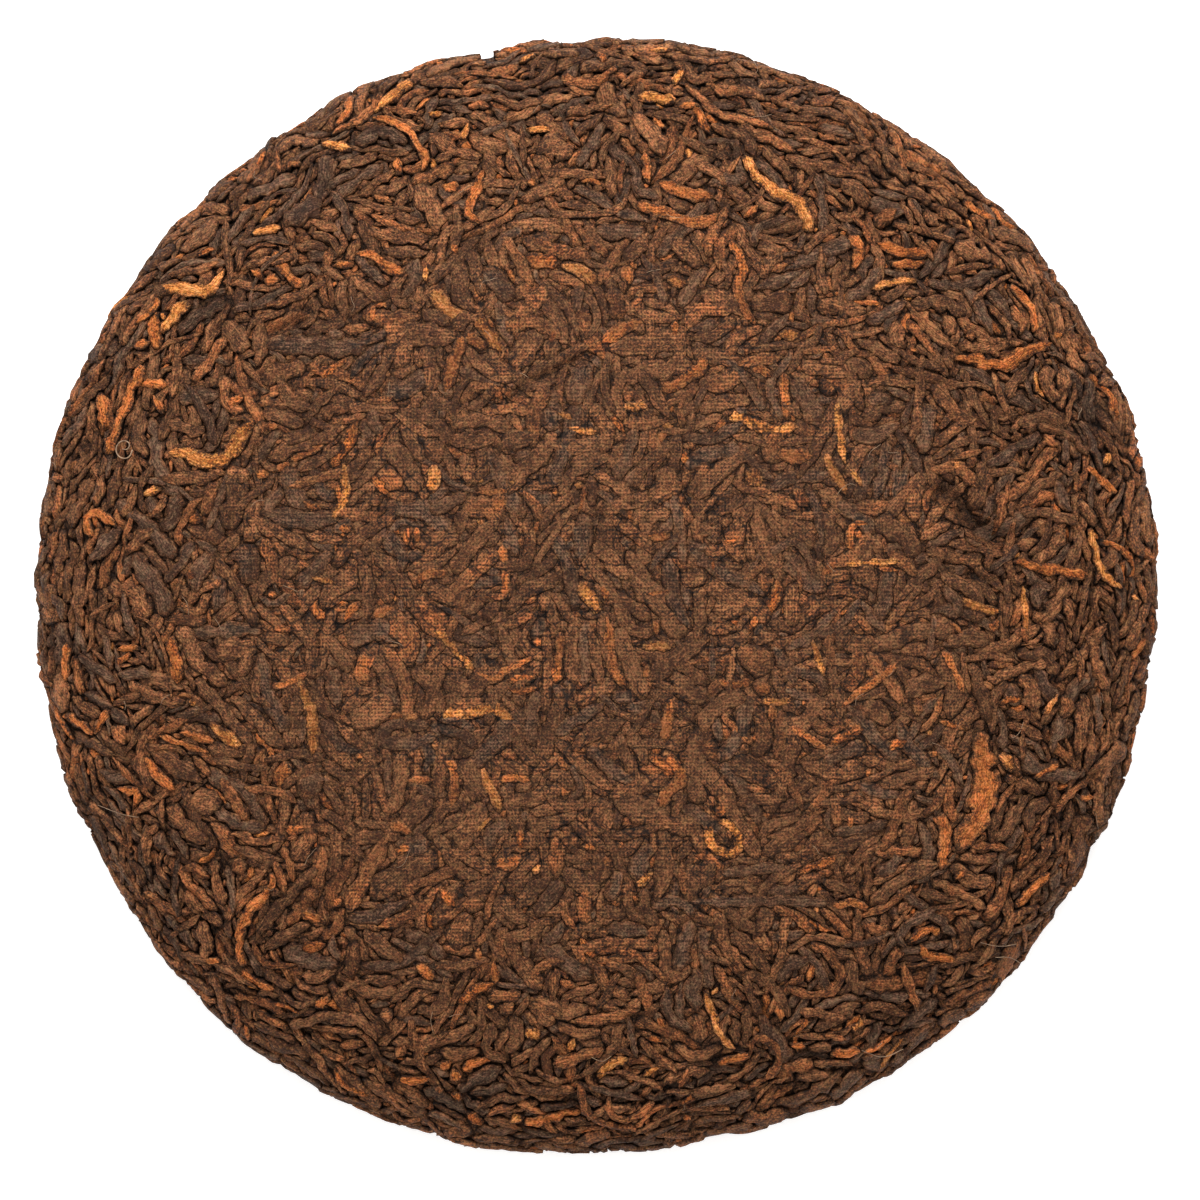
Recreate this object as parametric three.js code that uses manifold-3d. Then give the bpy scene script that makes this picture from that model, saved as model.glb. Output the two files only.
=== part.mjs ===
// A cake of ripe pu erh tea: twisted leaves, steamed soft and pressed in a cotton bag into a round, domed cake.
// The pressed mass and the leaves that show at its skin are one solid. Millimetres, +Z up. The cake lies on the
// plane z = 0 with its smooth face up, and the origin is the middle of its underside.
import * as THREE from "three";
import { mergeVertices } from "three/addons/utils/BufferGeometryUtils.js";
import Module from "manifold-3d";

// The cake's own form
const CAKE_RADIUS = 100;
const MIDDLE_THICKNESS = 25;
const RIM_HEIGHT = 7; // the widest line of the edge, above the table
const FACE_FLATNESS = 3.2; // higher keeps the upper face flat further out
const FACE_FULLNESS = 0.62; // lower makes the shoulder rounder
const FOOT_RADIUS = 84; // outside of the flat ring that the cake stands on
const DIMPLE_RADIUS = 29; // the hollow that the bag's knot leaves underneath
const DIMPLE_DEPTH = 11;
const DIMPLE_FOLDS = 9; // creases of the gathered cloth, running out from the knot
const FOLD_DEPTH = 0.7;

// The edge isn't quite round: waves in its radius, as [waves round the edge, height, angle of the first crest]
const EDGE_WAVES = [
  [2, 0.28, 25],
  [3, 0.18, 8],
  [4, 0.26, 48],
  [5, 0.32, 20],
  [6, 0.24, 9],
  [10, 0.12, 7],
  [14, 0.13, 11],
];
const WAVE_REACH = 6; // higher keeps the waves nearer to the edge
const NOTCH = { angle: 101.3, width: 1.7, depth: 2.2 }; // a gap between two leaves at the edge
const NOTCH_MOUTH = 6; // how far outside the edge the wedge that cuts it starts

// Leaves stand this far out of the mass, which is itself lumpy by less than that
const LEAF_RELIEF = 0.9;
const LUMP_HEIGHT = 0.45;
const LEAF_ROOT = 1.8; // how deep a leaf reaches into the mass
const LEAF_LENGTH = [11, 21];
const LEAF_WIDTH = [2.4, 4.4];
const LEAF_BEND = 0.34; // the most that a leaf's middle is off the line between its tips, as a share of its length
const LEAF_CROWN = 0.62; // width of a leaf's top, as a share of its foot
const TIP_SHARES = [0.6, 0.5]; // width of a leaf at its two blunt tips, as a share of its middle
const FACE_LEAVES = 102;
const FACE_SPREAD = 93; // the furthest out that a leaf's middle lies on the face
const RIM_TURN = 82; // from here out, leaves on the face lie along the rim
const RIM_LEAF = { bend: -0.07, shortened: 0.8, swing: 24 };
const BACK_LEAVES = 36;
const BACK_SPREAD = [8, 86];
const EDGE_LEAVES = 30;
const EDGE_LEAF = { length: [13, 19], width: [2.2, 3.4], bend: 0.05, swing: 16, proud: [0, 0.6] };
const EDGE_ROWS = [5, 9.5]; // heights of the two rows of leaves round the edge
const EDGE_ROW_WANDER = 0.6;
const CLEAR_OF_LARGE = 7; // no other leaf's middle is nearer to a large leaf's middle
const CLEAR_OF_OPEN_LEAF = 22;
const GOLDEN_ANGLE = 137.508; // spreads the leaves evenly over a disc
const SEED = 357;

// Leaves that stand out most on the face: middle x and y, heading in degrees, length, width and bend
const LARGE_LEAVES = [
  { x: 69.5, y: -34, heading: 80, length: 21, width: 4.6, bend: -0.16 },
  { x: -4, y: 43, heading: 24, length: 25, width: 2.4, bend: 0.04 },
  { x: 31, y: 74, heading: -52, length: 13, width: 3.2, bend: 0.12 },
  { x: -48.5, y: 44, heading: -2, length: 16, width: 3.8, bend: 0 },
  { x: -66, y: 26.5, heading: 24, length: 15, width: 2.9, bend: -0.3 },
  { x: -70, y: 56, heading: 30, length: 12, width: 3.4, bend: -0.18 },
  { x: 73, y: 42.5, heading: 6, length: 18, width: 2.3, bend: -0.16 },
  { x: 37, y: -69, heading: 100, length: 14, width: 2.4, bend: 0.3 },
  { x: 81, y: 5, heading: -10, length: 14, width: 2.3, bend: 0.06 },
  { x: -16, y: -11.5, heading: -20, length: 19, width: 2, bend: 0.3 },
  { x: 25.5, y: -54, heading: -2, length: 24, width: 2.8, bend: 0 },
  { x: -39, y: -50, heading: 56, length: 17, width: 3, bend: 0.02 },
];

// An open leaf pressed flat on the underside, which gives the cake a broad face to rest on
const OPEN_LEAF_BENEATH = { x: 56, y: 0, heading: 86, length: 27, width: 13, bend: 0.03 };

const CORE_FACE_RADII = [0, 15, 30, 45, 60, 73, 84, 92, 97.5];
const CORE_BACK_RADII = [98, 94, FOOT_RADIUS, 66, 46, DIMPLE_RADIUS, 22, 13, 0];

const CORE_SECTORS = 54;
const DEGREE = Math.PI / 180;

// Repeatable draws from 0 to 1
function makeDraw(seed) {
  let state = seed;
  return () => {
    state = (state * 1664525 + 1013904223) % 4294967296;
    return state / 4294967296;
  };
}

const draw = makeDraw(SEED);
const between = ([low, high]) => low + (high - low) * draw();

// How much further out the edge lies at an angle than on a true circle
function edgeWave(angle) {
  return EDGE_WAVES.reduce(
    (sum, [waves, height, crest]) =>
      sum + height * Math.cos(waves * (angle - crest * DEGREE)),
    0,
  );
}

// Height of the upper face at a radius
function faceHeight(radius) {
  const share = Math.min(radius / CAKE_RADIUS, 1);
  const rise = (1 - share ** FACE_FLATNESS) ** FACE_FULLNESS;
  return RIM_HEIGHT + (MIDDLE_THICKNESS - RIM_HEIGHT) * rise;
}

// Height of the underside at a radius: the dimple, the flat ring, then the curve up to the edge
function backHeight(radius, angle = 0) {
  if (radius < DIMPLE_RADIUS) {
    const hollow = (1 - (radius / DIMPLE_RADIUS) ** 2) ** 1.5;
    const fold = Math.sin(DIMPLE_FOLDS * angle) * Math.sin(Math.PI * radius / DIMPLE_RADIUS);
    return DIMPLE_DEPTH * hollow + FOLD_DEPTH * (1 + fold) * Math.min(1, 3 * hollow);
  }
  if (radius <= FOOT_RADIUS) return 0;
  const share = Math.min((radius - FOOT_RADIUS) / (CAKE_RADIUS - FOOT_RADIUS), 1);
  return RIM_HEIGHT * (1 - Math.sqrt(1 - share ** 2));
}

// Radius of the edge at a height
function edgeRadius(height) {
  if (height < RIM_HEIGHT) {
    const share = 1 - height / RIM_HEIGHT;
    return FOOT_RADIUS + (CAKE_RADIUS - FOOT_RADIUS) * Math.sqrt(1 - share ** 2);
  }
  const rise = (height - RIM_HEIGHT) / (MIDDLE_THICKNESS - RIM_HEIGHT);
  return CAKE_RADIUS * (1 - rise ** (1 / FACE_FULLNESS)) ** (1 / FACE_FLATNESS);
}

// The pressed mass below the leaves: a turned profile, then waved at its edge and made lumpy
function coreGeometry() {
  const profile = [
    ...CORE_BACK_RADII.toReversed().map((r) => new THREE.Vector2(r, backHeight(r) + LEAF_RELIEF)),
    new THREE.Vector2(CAKE_RADIUS - LEAF_RELIEF, RIM_HEIGHT),
    ...CORE_FACE_RADII.toReversed().map((r) => new THREE.Vector2(r, faceHeight(r) - LEAF_RELIEF)),
  ];
  const turned = new THREE.LatheGeometry(profile, CORE_SECTORS).rotateX(Math.PI / 2);
  const core = weld(turned);
  const place = core.getAttribute("position");
  for (let i = 0; i < place.count; i += 1) {
    const [x, y, z] = [place.getX(i), place.getY(i), place.getZ(i)];
    const radius = Math.hypot(x, y);
    const angle = Math.atan2(y, x);
    const underneath = z < RIM_HEIGHT && radius < CORE_BACK_RADII[0];
    const folded = underneath ? backHeight(radius, angle) + LEAF_RELIEF : z;
    const lump = between([-LUMP_HEIGHT, LUMP_HEIGHT]);
    const outward = edgeWave(angle) * (radius / CAKE_RADIUS) ** WAVE_REACH + lump / 2;
    const stretch = radius > 0 ? 1 + outward / radius : 1;
    place.setXYZ(i, x * stretch, y * stretch, folded + (underneath ? Math.abs(lump) : lump));
  }
  return core;
}

// A leaf lying flat: a bent strip with blunt tips, its top narrower than its foot. Its top is at z = 0.
function leafGeometry({ length, width, bend }) {
  const rib = new THREE.QuadraticBezierCurve(
    new THREE.Vector2(-length / 2, 0),
    new THREE.Vector2(0, 2 * bend * length),
    new THREE.Vector2(length / 2, 0),
  );
  const stations = [
    [0, TIP_SHARES[0]],
    [0.5, 1],
    [1, TIP_SHARES[1]],
  ];
  const side = (sign) =>
    stations.map(([along, share]) => {
      const tangent = rib.getTangent(along);
      const half = (sign * share * width) / 2;
      return rib.getPoint(along).add(new THREE.Vector2(-tangent.y * half, tangent.x * half));
    });
  const outline = [...side(-1), ...side(1).toReversed()];
  const depth = LEAF_RELIEF + LEAF_ROOT;
  const strip = new THREE.ExtrudeGeometry(new THREE.Shape(outline), { depth, bevelEnabled: false });
  strip.translate(0, 0, -depth);
  const place = strip.getAttribute("position");
  const ribPoints = rib.getPoints(12);
  for (let i = 0; i < place.count; i += 1) {
    if (place.getZ(i) < -depth / 2) continue;
    const corner = new THREE.Vector2(place.getX(i), place.getY(i));
    const nearest = ribPoints.reduce((a, b) => (b.distanceTo(corner) < a.distanceTo(corner) ? b : a));
    corner.lerp(nearest, 1 - LEAF_CROWN);
    place.setXY(i, corner.x, corner.y);
  }
  return strip;
}

// Moves each vertex of a geometry to where the rule puts it
function reshape(geometry, rule) {
  const place = geometry.getAttribute("position");
  for (let i = 0; i < place.count; i += 1) {
    place.setXYZ(i, ...rule(place.getX(i), place.getY(i), place.getZ(i)));
  }
  return geometry;
}

// Lays a leaf on the upper face, its top flush with the skin
function onFace(leaf) {
  const strip = leafGeometry(leaf).rotateZ(leaf.heading * DEGREE).translate(leaf.x, leaf.y, 0);
  return reshape(strip, (x, y, z) => [x, y, faceHeight(Math.hypot(x, y)) + z]);
}

// Lays a leaf on the underside, turned over so that it faces down
function onBack(leaf) {
  const strip = leafGeometry(leaf)
    .rotateX(Math.PI)
    .rotateZ(leaf.heading * DEGREE)
    .translate(leaf.x, leaf.y, 0);
  return reshape(strip, (x, y, z) => [x, y, backHeight(Math.hypot(x, y), Math.atan2(y, x)) + z]);
}

// Wraps a leaf round the edge: its length runs along the edge, and heading tilts it up or down
function onEdge(leaf) {
  const strip = leafGeometry(leaf).rotateZ(leaf.heading * DEGREE);
  return reshape(strip, (along, up, out) => {
    const angle = leaf.angle + along / CAKE_RADIUS;
    const height = leaf.height + up;
    const radius = edgeRadius(height) + edgeWave(angle) + leaf.proud + out;
    return [radius * Math.cos(angle), radius * Math.sin(angle), height];
  });
}

// Leaves spread over a disc on a sunflower spiral, each turned at random
function scatter(count, innerRadius, outerRadius) {
  return Array.from({ length: count }, (_, i) => {
    const share = (i + 0.5) / count;
    const radius = Math.sqrt(innerRadius ** 2 + (outerRadius ** 2 - innerRadius ** 2) * share);
    const angle = i * GOLDEN_ANGLE * DEGREE;
    return {
      x: radius * Math.cos(angle),
      y: radius * Math.sin(angle),
      heading: 360 * draw(),
      length: between(LEAF_LENGTH),
      width: between(LEAF_WIDTH),
      bend: LEAF_BEND * between([-1, 1]) * draw(),
    };
  });
}

// Near the rim a leaf turns to lie along it, as the bag pulls it round
function turnedAlongRim(leaf) {
  if (Math.hypot(leaf.x, leaf.y) < RIM_TURN) return leaf;
  const along = Math.atan2(leaf.y, leaf.x) / DEGREE + 90;
  return {
    ...leaf,
    heading: along + RIM_LEAF.swing * between([-1, 1]),
    bend: RIM_LEAF.bend,
    length: leaf.length * RIM_LEAF.shortened,
  };
}

// True where a leaf's middle is at least this far from the middles of the others
const clearOf = (others, distance) => (leaf) =>
  others.every((other) => Math.hypot(leaf.x - other.x, leaf.y - other.y) > distance);

function edgeLeaves(count) {
  return Array.from({ length: count }, (_, i) => ({
    angle: (2 * Math.PI * (i + between([0, 0.3]))) / count,
    height: EDGE_ROWS[i % EDGE_ROWS.length] + EDGE_ROW_WANDER * between([-1, 1]),
    heading: EDGE_LEAF.swing * between([-1, 1]),
    length: between(EDGE_LEAF.length),
    width: between(EDGE_LEAF.width),
    bend: EDGE_LEAF.bend * between([-1, 1]),
    proud: between(EDGE_LEAF.proud),
  }));
}

// A wedge-shaped gap in the edge, wider outside
function notchGeometry() {
  const mouth = new THREE.Shape([
    new THREE.Vector2(CAKE_RADIUS - NOTCH.depth, 0),
    new THREE.Vector2(CAKE_RADIUS + NOTCH_MOUTH, -NOTCH.width),
    new THREE.Vector2(CAKE_RADIUS + NOTCH_MOUTH, NOTCH.width),
  ]);
  const height = MIDDLE_THICKNESS;
  return new THREE.ExtrudeGeometry(mouth, { depth: height, bevelEnabled: false })
    .translate(0, 0, -height / 4)
    .rotateZ(NOTCH.angle * DEGREE);
}

// Joins the vertices that share a place, so that the surface is closed
function weld(geometry) {
  geometry.deleteAttribute("normal");
  geometry.deleteAttribute("uv");
  return mergeVertices(geometry, 1e-3);
}

const wasm = await Module();
wasm.setup();

function toSolid(geometry) {
  const welded = weld(geometry);
  return new wasm.Manifold(
    new wasm.Mesh({
      numProp: 3,
      vertProperties: welded.getAttribute("position").array,
      triVerts: new Uint32Array(welded.index.array),
    }),
  );
}

function toGeometry(solid) {
  const { vertProperties, triVerts } = solid.getMesh();
  const geometry = new THREE.BufferGeometry();
  geometry.setAttribute("position", new THREE.BufferAttribute(vertProperties, 3));
  geometry.setIndex(new THREE.BufferAttribute(triVerts, 1));
  geometry.computeVertexNormals();
  return geometry;
}

function buildCake() {
  const core = toSolid(coreGeometry());
  const face = [
    ...LARGE_LEAVES,
    ...scatter(FACE_LEAVES, 0, FACE_SPREAD)
      .filter(clearOf(LARGE_LEAVES, CLEAR_OF_LARGE))
      .map(turnedAlongRim),
  ];
  const back = [
    OPEN_LEAF_BENEATH,
    ...scatter(BACK_LEAVES, ...BACK_SPREAD).filter(clearOf([OPEN_LEAF_BENEATH], CLEAR_OF_OPEN_LEAF)),
  ];
  const leaves = [
    ...face.map(onFace),
    ...back.map(onBack),
    ...edgeLeaves(EDGE_LEAVES).map(onEdge),
  ];
  return leaves.reduce((cake, leaf) => cake.add(toSolid(leaf)), core).subtract(toSolid(notchGeometry()));
}

const pressedTea = new THREE.MeshStandardMaterial({ color: "#62412d", roughness: 0.85, metalness: 0 });

const cake = new THREE.Group();
const body = new THREE.Mesh(toGeometry(buildCake()), pressedTea);
body.name = "tea_cake";
cake.add(body);

export default cake;
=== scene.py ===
"""A round cake of ripe pu erh tea, pressed leaf by leaf over the size and form of the frame.

The leaves are laid from the surface inwards. Those that stand out go first and lie flush, and each
later one is pushed down only where it passes under a leaf that lies already, as the press does it.
"""

import math

import bpy
import numpy as np
from bpy.props import FloatProperty, FloatVectorProperty, IntProperty, PointerProperty
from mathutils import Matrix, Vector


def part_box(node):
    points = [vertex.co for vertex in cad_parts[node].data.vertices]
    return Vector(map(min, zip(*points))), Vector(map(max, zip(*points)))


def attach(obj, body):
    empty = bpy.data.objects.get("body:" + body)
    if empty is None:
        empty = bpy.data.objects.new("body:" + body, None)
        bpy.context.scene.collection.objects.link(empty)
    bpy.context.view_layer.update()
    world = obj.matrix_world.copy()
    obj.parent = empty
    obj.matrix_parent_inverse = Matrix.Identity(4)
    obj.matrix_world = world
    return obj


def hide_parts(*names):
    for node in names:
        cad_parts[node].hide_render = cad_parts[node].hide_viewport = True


bl_info = {
    "name": "Pu Erh Tea Cake",
    "version": (1, 0, 0),
    "blender": (4, 5, 0),
    "location": "3D View > Sidebar > Tea Cake",
    "description": "Builds a pressed tea cake from single leaves",
    "category": "Add Mesh",
}

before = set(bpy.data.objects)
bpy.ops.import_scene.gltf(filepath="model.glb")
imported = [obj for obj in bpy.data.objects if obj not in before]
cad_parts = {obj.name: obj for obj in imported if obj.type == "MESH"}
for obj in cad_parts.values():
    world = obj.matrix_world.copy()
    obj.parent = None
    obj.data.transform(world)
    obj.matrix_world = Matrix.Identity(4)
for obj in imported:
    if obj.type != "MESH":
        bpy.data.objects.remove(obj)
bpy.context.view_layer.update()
CAKE_LOW, CAKE_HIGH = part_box("tea_cake")
MM = 0.001
HALF_WIDTH = sum((CAKE_HIGH - CAKE_LOW)[:2]) / 4

# The photograph: its width in pixels, and the lens and place that give its view, in metres.
PHOTO_WIDTH = 1200
LENS = 0.100
SENSOR = 0.036
CAMERA_PLACE = (0.0008, -0.0006, 0.599)

# The edge is not a true circle: waves round it, height in mm, and where the first crest lies, in degrees.
EDGE_WAVES = (
    (2, 0.28, 25), (3, 0.18, 8), (4, 0.26, 48), (5, 0.32, 20), (6, 0.24, 9), (10, 0.12, 7), (14, 0.13, 11),
)
# The notch at the top left: its width and depth in mm, and how many depths it runs in over the face.
NOTCH = {"angle": math.radians(101.3), "width": 2.0, "depth": 3.0, "run": 1.4}

# Kinds of leaf, in the order their pieces are made, and their share of the leaves between the traced ones.
KINDS = ("charcoal", "dark", "brown", "russet", "amber", "gold")
KIND_SHARES = {"charcoal": 0.22, "dark": 0.31, "brown": 0.31, "russet": 0.13, "amber": 0.020, "gold": 0.004}

# Leaves that stand out on the face, by the side where they lie. Each line gives the kind, the width in
# mm, and the pixels of the 1200 x 1200 photograph that the leaf's middle runs through.
LEFT_SHOULDER = """
gold 1.0  162,314 166,321
gold 1.1  189,700 194,706
gold 2.6  163,288 188,291 207,294 217,279 223,267
gold 2.3  161,332 173,317 188,302
amber 1.4  135,325 150,313 161,302 156,296
amber 1.6  133,346 150,342
russet 2.3  223,336 211,357 192,380
dark 4.3  221,321 246,349
charcoal 3.6  267,343 300,344 334,346 365,349
amber 2.5  142,365 135,382 127,395 121,415 112,432 104,453
amber 2.5  96,391 101,409 102,428
amber 1.8  135,382 167,384
amber 1.4  152,395 161,413
gold 2.9  169,453 184,451 200,460 223,462 234,449 242,430 255,420
amber 1.6  265,426 278,426
amber 2.1  255,474 268,474
gold 1.7  142,493 161,489
amber 1.9  91,537 84,518 93,510 104,518 116,527
amber 2.0  187,519 202,520
amber 1.9  303,501 318,510
russet 1.6  49,478 62,478
amber 1.6  263,279 279,280
"""
UPPER_LEFT = """
gold 2.5  410,76 399,86 388,99 374,112
russet 1.5  388,108 405,109 422,112
gold 1.6  426,110 441,110
amber 1.6  372,118 395,121 409,129 418,144 426,156 422,169
amber 2.5  441,184 460,188
amber 1.8  483,169 476,188 466,211 479,223
amber 2.1  395,154 397,173
amber 1.6  350,96 350,112 334,123
gold 2.0  321,142 336,144 351,148
russet 1.2  285,167 290,161 300,162
russet 1.2  275,144 277,169
amber 1.4  254,161 265,150
gold 1.6  468,121 462,138
gold 1.4  525,127 550,127
gold 1.6  518,56 535,52
brown 2.6  365,230 393,236 428,238
russet 1.4  368,213 399,228 434,232
amber 1.9  355,253 374,253 388,267 403,274
amber 1.6  332,265 353,263
brown 1.6  265,307 298,295 326,282
gold 1.6  250,232 279,225
amber 1.6  250,269 263,280
russet 1.4  374,194 391,202
gold 1.1  426,265 426,282
amber 1.4  451,244 458,253
amber 1.4  508,267 514,282
russet 2.1  504,236 519,262 533,286
amber 1.6  527,179 537,183
dark 2.5  384,250 428,253
"""
TOP = """
gold 2.8  638,95 665,96 676,99
amber 1.4  678,106 699,105
gold 1.6  674,82 684,66
gold 1.4  649,47 672,49
amber 2.1  561,41 573,42
amber 2.1  600,47 604,59
russet 2.5  812,103 837,97
russet 2.0  814,89 831,89
russet 1.8  686,80 703,101 722,114 751,120 774,126
russet 2.1  757,137 780,141 795,152
gold 2.4  745,154 753,171 764,183 780,196 795,196 806,214 812,231
amber 1.6  646,152 646,172 649,183
amber 2.3  659,179 684,193 714,194
amber 2.1  636,204 665,212 684,221 707,223 718,212
brown 1.4  550,214 584,214 613,212 626,202 626,194
amber 1.1  581,181 592,178 604,187
russet 2.0  575,225 592,242 607,256
gold 2.5  561,265 584,271 596,284
amber 2.5  625,265 630,284
russet 1.6  642,288 634,313
gold 2.3  668,277 688,284
amber 2.0  730,240 741,254 745,271 738,279 736,292 743,304 755,325
amber 1.2  743,216 758,206
amber 1.6  674,320 675,335
"""
UPPER_RIGHT = """
amber 2.5  850,234 861,242 861,257 852,268
amber 2.5  877,240 894,247 913,251 928,253
amber 2.1  892,264 915,263 926,259
gold 1.4  871,289 888,282 917,280
amber 1.6  965,199 980,213 995,217
amber 1.1  911,145 923,146
amber 2.5  955,358 972,358 992,364 1009,366 1014,356 1032,349 1053,343
amber 1.6  1055,333 1065,334
russet 1.8  966,335 975,335
russet 1.8  907,320 923,339 935,356
amber 0.8  908,347 918,352
russet 2.0  1012,306 1022,322 1020,335
brown 2.5  1099,383 1112,381
russet 1.8  1040,268 1050,268
"""
MIDDLE_LEFT = """
amber 1.4  321,378 334,367 348,359
russet 1.6  332,422 346,420 365,415
amber 1.4  373,305 373,322
russet 2.8  384,325 403,329
dark 2.8  422,310 449,323
gold 2.6  478,315 487,334 503,352
amber 1.4  554,327 551,355
dark 2.1  528,376 549,365 572,352 600,340
amber 2.4  600,344 619,329 642,321
russet 1.4  583,355 587,367
amber 2.5  464,336 453,363 445,392
russet 2.1  482,411 507,407 530,413
gold 1.1  558,413 575,419
gold 1.6  568,428 583,431 598,432
russet 4.6  425,457 443,443
gold 1.8  343,463 346,482 346,501 332,518
amber 1.8  306,503 321,510
amber 1.9  338,528 352,528
amber 2.8  491,507 508,498
amber 1.1  476,493 510,491
gold 1.1  478,480 484,480
gold 1.1  509,482 515,482
amber 1.2  407,528 407,546
amber 1.2  417,526 417,545
amber 2.1  418,587 422,572 449,575
brown 1.4  459,535 466,512
gold 1.1  311,577 334,583
gold 1.4  574,485 584,486
gold 2.7  581,581 590,598 598,615
"""
MIDDLE_RIGHT = """
gold 1.8  778,334 801,335
amber 2.4  663,392 684,378 703,369 703,354
gold 1.8  623,407 648,405
amber 1.8  751,365 772,376
russet 1.2  801,352 837,348
gold 2.3  728,418 745,417 762,428 778,430 797,426
brown 1.2  782,403 801,418
gold 1.6  837,403 839,434 845,464
gold 1.9  824,453 835,472 847,495
gold 1.4  849,468 862,487
gold 3.4  745,482 762,474
brown 2.5  645,518 670,513
amber 1.8  722,543 740,537
amber 1.8  791,531 801,541
russet 1.1  799,558 801,591
amber 1.9  713,557 713,571
russet 2.0  761,573 768,593
amber 1.6  822,575 837,560
amber 1.6  868,524 856,520 847,539 854,552
gold 1.3  845,564 875,562 900,562
amber 0.9  877,568 898,570
brown 1.4  887,463 900,470
"""
CENTRE = """
gold 1.5  433,630 445,638 458,653 473,670
amber 1.6  473,670 494,682 506,669 535,657
amber 1.4  506,682 520,676 538,678
amber 1.4  508,688 522,692 537,688
amber 1.6  604,586 606,602
amber 1.8  561,632 556,684
amber 2.1  607,617 611,650 613,670 626,688
amber 1.4  646,594 669,592
gold 2.0  642,646 671,647
russet 1.4  504,627 520,622 535,611
russet 1.4  473,600 490,597 508,596
"""
RIGHT = """
gold 1.6  1090,528 1097,557 1107,581 1124,589
amber 1.4  1101,541 1118,545 1132,558 1137,574 1130,576
amber 1.4  1084,468 1099,480 1113,493
gold 2.5  1103,455 1110,464
amber 2.8  1132,466 1142,459
amber 2.1  1013,560 1045,570 1088,574
russet 2.5  1017,575 1019,586
gold 1.6  963,599 975,608 1002,612
amber 2.5  990,624 1000,628
amber 1.2  950,622 963,633
charcoal 2.1  988,467 1017,448 1040,434
russet 1.8  1046,434 1059,446
russet 1.2  950,459 981,451
gold 1.6  952,466 960,467
brown 2.5  1017,545 1038,541
amber 1.2  1151,612 1153,637
dark 1.4  1153,541 1155,570 1153,599
gold 1.1  1134,594 1141,600
russet 1.8  1023,627 1028,643
"""
LOWER_RIGHT = """
amber 1.8  841,707 868,686 898,665
amber 1.6  944,650 957,673 965,694
russet 1.8  919,700 917,717
russet 1.4  944,692 936,719 921,732
amber 1.2  940,721 965,730
amber 1.8  888,749 907,740
amber 1.4  997,704 1022,698
amber 4.6  982,732 984,765 988,793 982,818 957,849
gold 2.8  1003,753 1013,772
brown 2.1  1020,780 1020,795
amber 1.4  1034,778 1060,765
amber 1.4  930,754 939,756
russet 2.1  967,707 977,707
amber 1.4  1133,749 1139,732
amber 1.1  1083,799 1097,799
amber 1.8  1017,909 1034,891 1051,874
amber 1.6  955,880 964,871
russet 1.2  947,884 955,896
brown 1.6  899,913 907,902
russet 1.8  862,922 874,932 888,925
amber 1.6  909,942 922,930 937,930 941,938
amber 1.8  922,944 926,957 955,961
russet 2.0  903,965 909,980 918,1010
amber 2.1  850,732 861,725
amber 1.1  850,816 851,828
"""
LOWER_MIDDLE_RIGHT = """
gold 1.9  717,822 732,824 740,841 734,856 715,851 708,835 712,824
amber 2.1  715,808 726,816
amber 1.2  749,634 757,615
gold 1.4  812,640 818,657 824,676
russet 1.6  854,615 875,634
amber 2.5  754,688 771,689
amber 1.8  772,703 772,722
amber 1.4  791,726 810,740 828,749
amber 1.9  830,744 846,736 862,726
amber 2.1  671,699 667,722 665,742
amber 1.1  648,726 664,724
amber 2.5  650,757 676,766 684,780 665,791 663,808
russet 1.8  780,764 791,784 803,810
russet 1.8  722,715 753,745
amber 1.6  800,872 837,858
gold 1.8  636,887 653,872
amber 1.8  601,861 611,863
russet 1.6  682,862 684,896
russet 2.1  835,801 837,826
charcoal 2.1  722,874 784,866
charcoal 2.1  690,903 760,901 830,903
"""
LEFT = """
amber 1.8  65,642 64,682
amber 2.3  170,636 175,661 177,684
amber 1.8  185,575 196,576
amber 1.4  116,665 129,653
amber 1.4  51,711 70,741
amber 1.8  64,714 91,735
amber 1.6  106,709 95,734
russet 2.5  112,726 124,745
amber 2.1  145,757 154,774 173,791
amber 1.4  158,736 183,745 208,753
amber 1.6  179,732 213,743
gold 2.5  208,724 240,747
russet 1.8  191,757 208,776
amber 2.1  114,789 128,792 137,797 129,810
gold 2.5  298,682 304,695 315,722 311,757
russet 1.1  273,628 294,630
amber 1.4  268,592 276,597
russet 2.0  300,795 314,796
brown 0.7  135,615 152,623 164,649 170,684 172,700
brown 1.6  131,728 137,716 154,707
"""
LOWER_LEFT = """
gold 2.1  482,769 491,790 501,812
amber 2.0  449,757 457,780 451,807
amber 1.4  405,780 434,780
gold 1.2  476,832 491,818
amber 1.6  520,828 522,849
russet 2.5  556,837 556,878
amber 1.4  583,845 596,849
russet 2.5  587,887 583,925
amber 1.8  440,889 455,908
russet 2.8  462,903 484,906
gold 2.5  438,715 472,713 491,707 514,719
gold 1.8  406,718 417,716
brown 2.3  313,828 332,828 338,847 332,876
russet 2.8  348,912 367,870 390,834
amber 2.1  395,852 410,847
russet 2.1  401,893 434,878 464,866
russet 2.1  376,929 419,912 442,885
brown 1.4  422,864 432,858
amber 1.8  300,912 321,922
amber 2.1  270,873 274,886 257,902 242,925 240,946 244,965
russet 1.4  255,940 259,953 267,965 297,965
amber 1.1  205,961 221,963
dark 1.8  179,953 226,967 257,988
russet 2.1  293,905 324,925
amber 1.8  334,899 341,905
russet 2.8  230,869 246,865
"""
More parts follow.
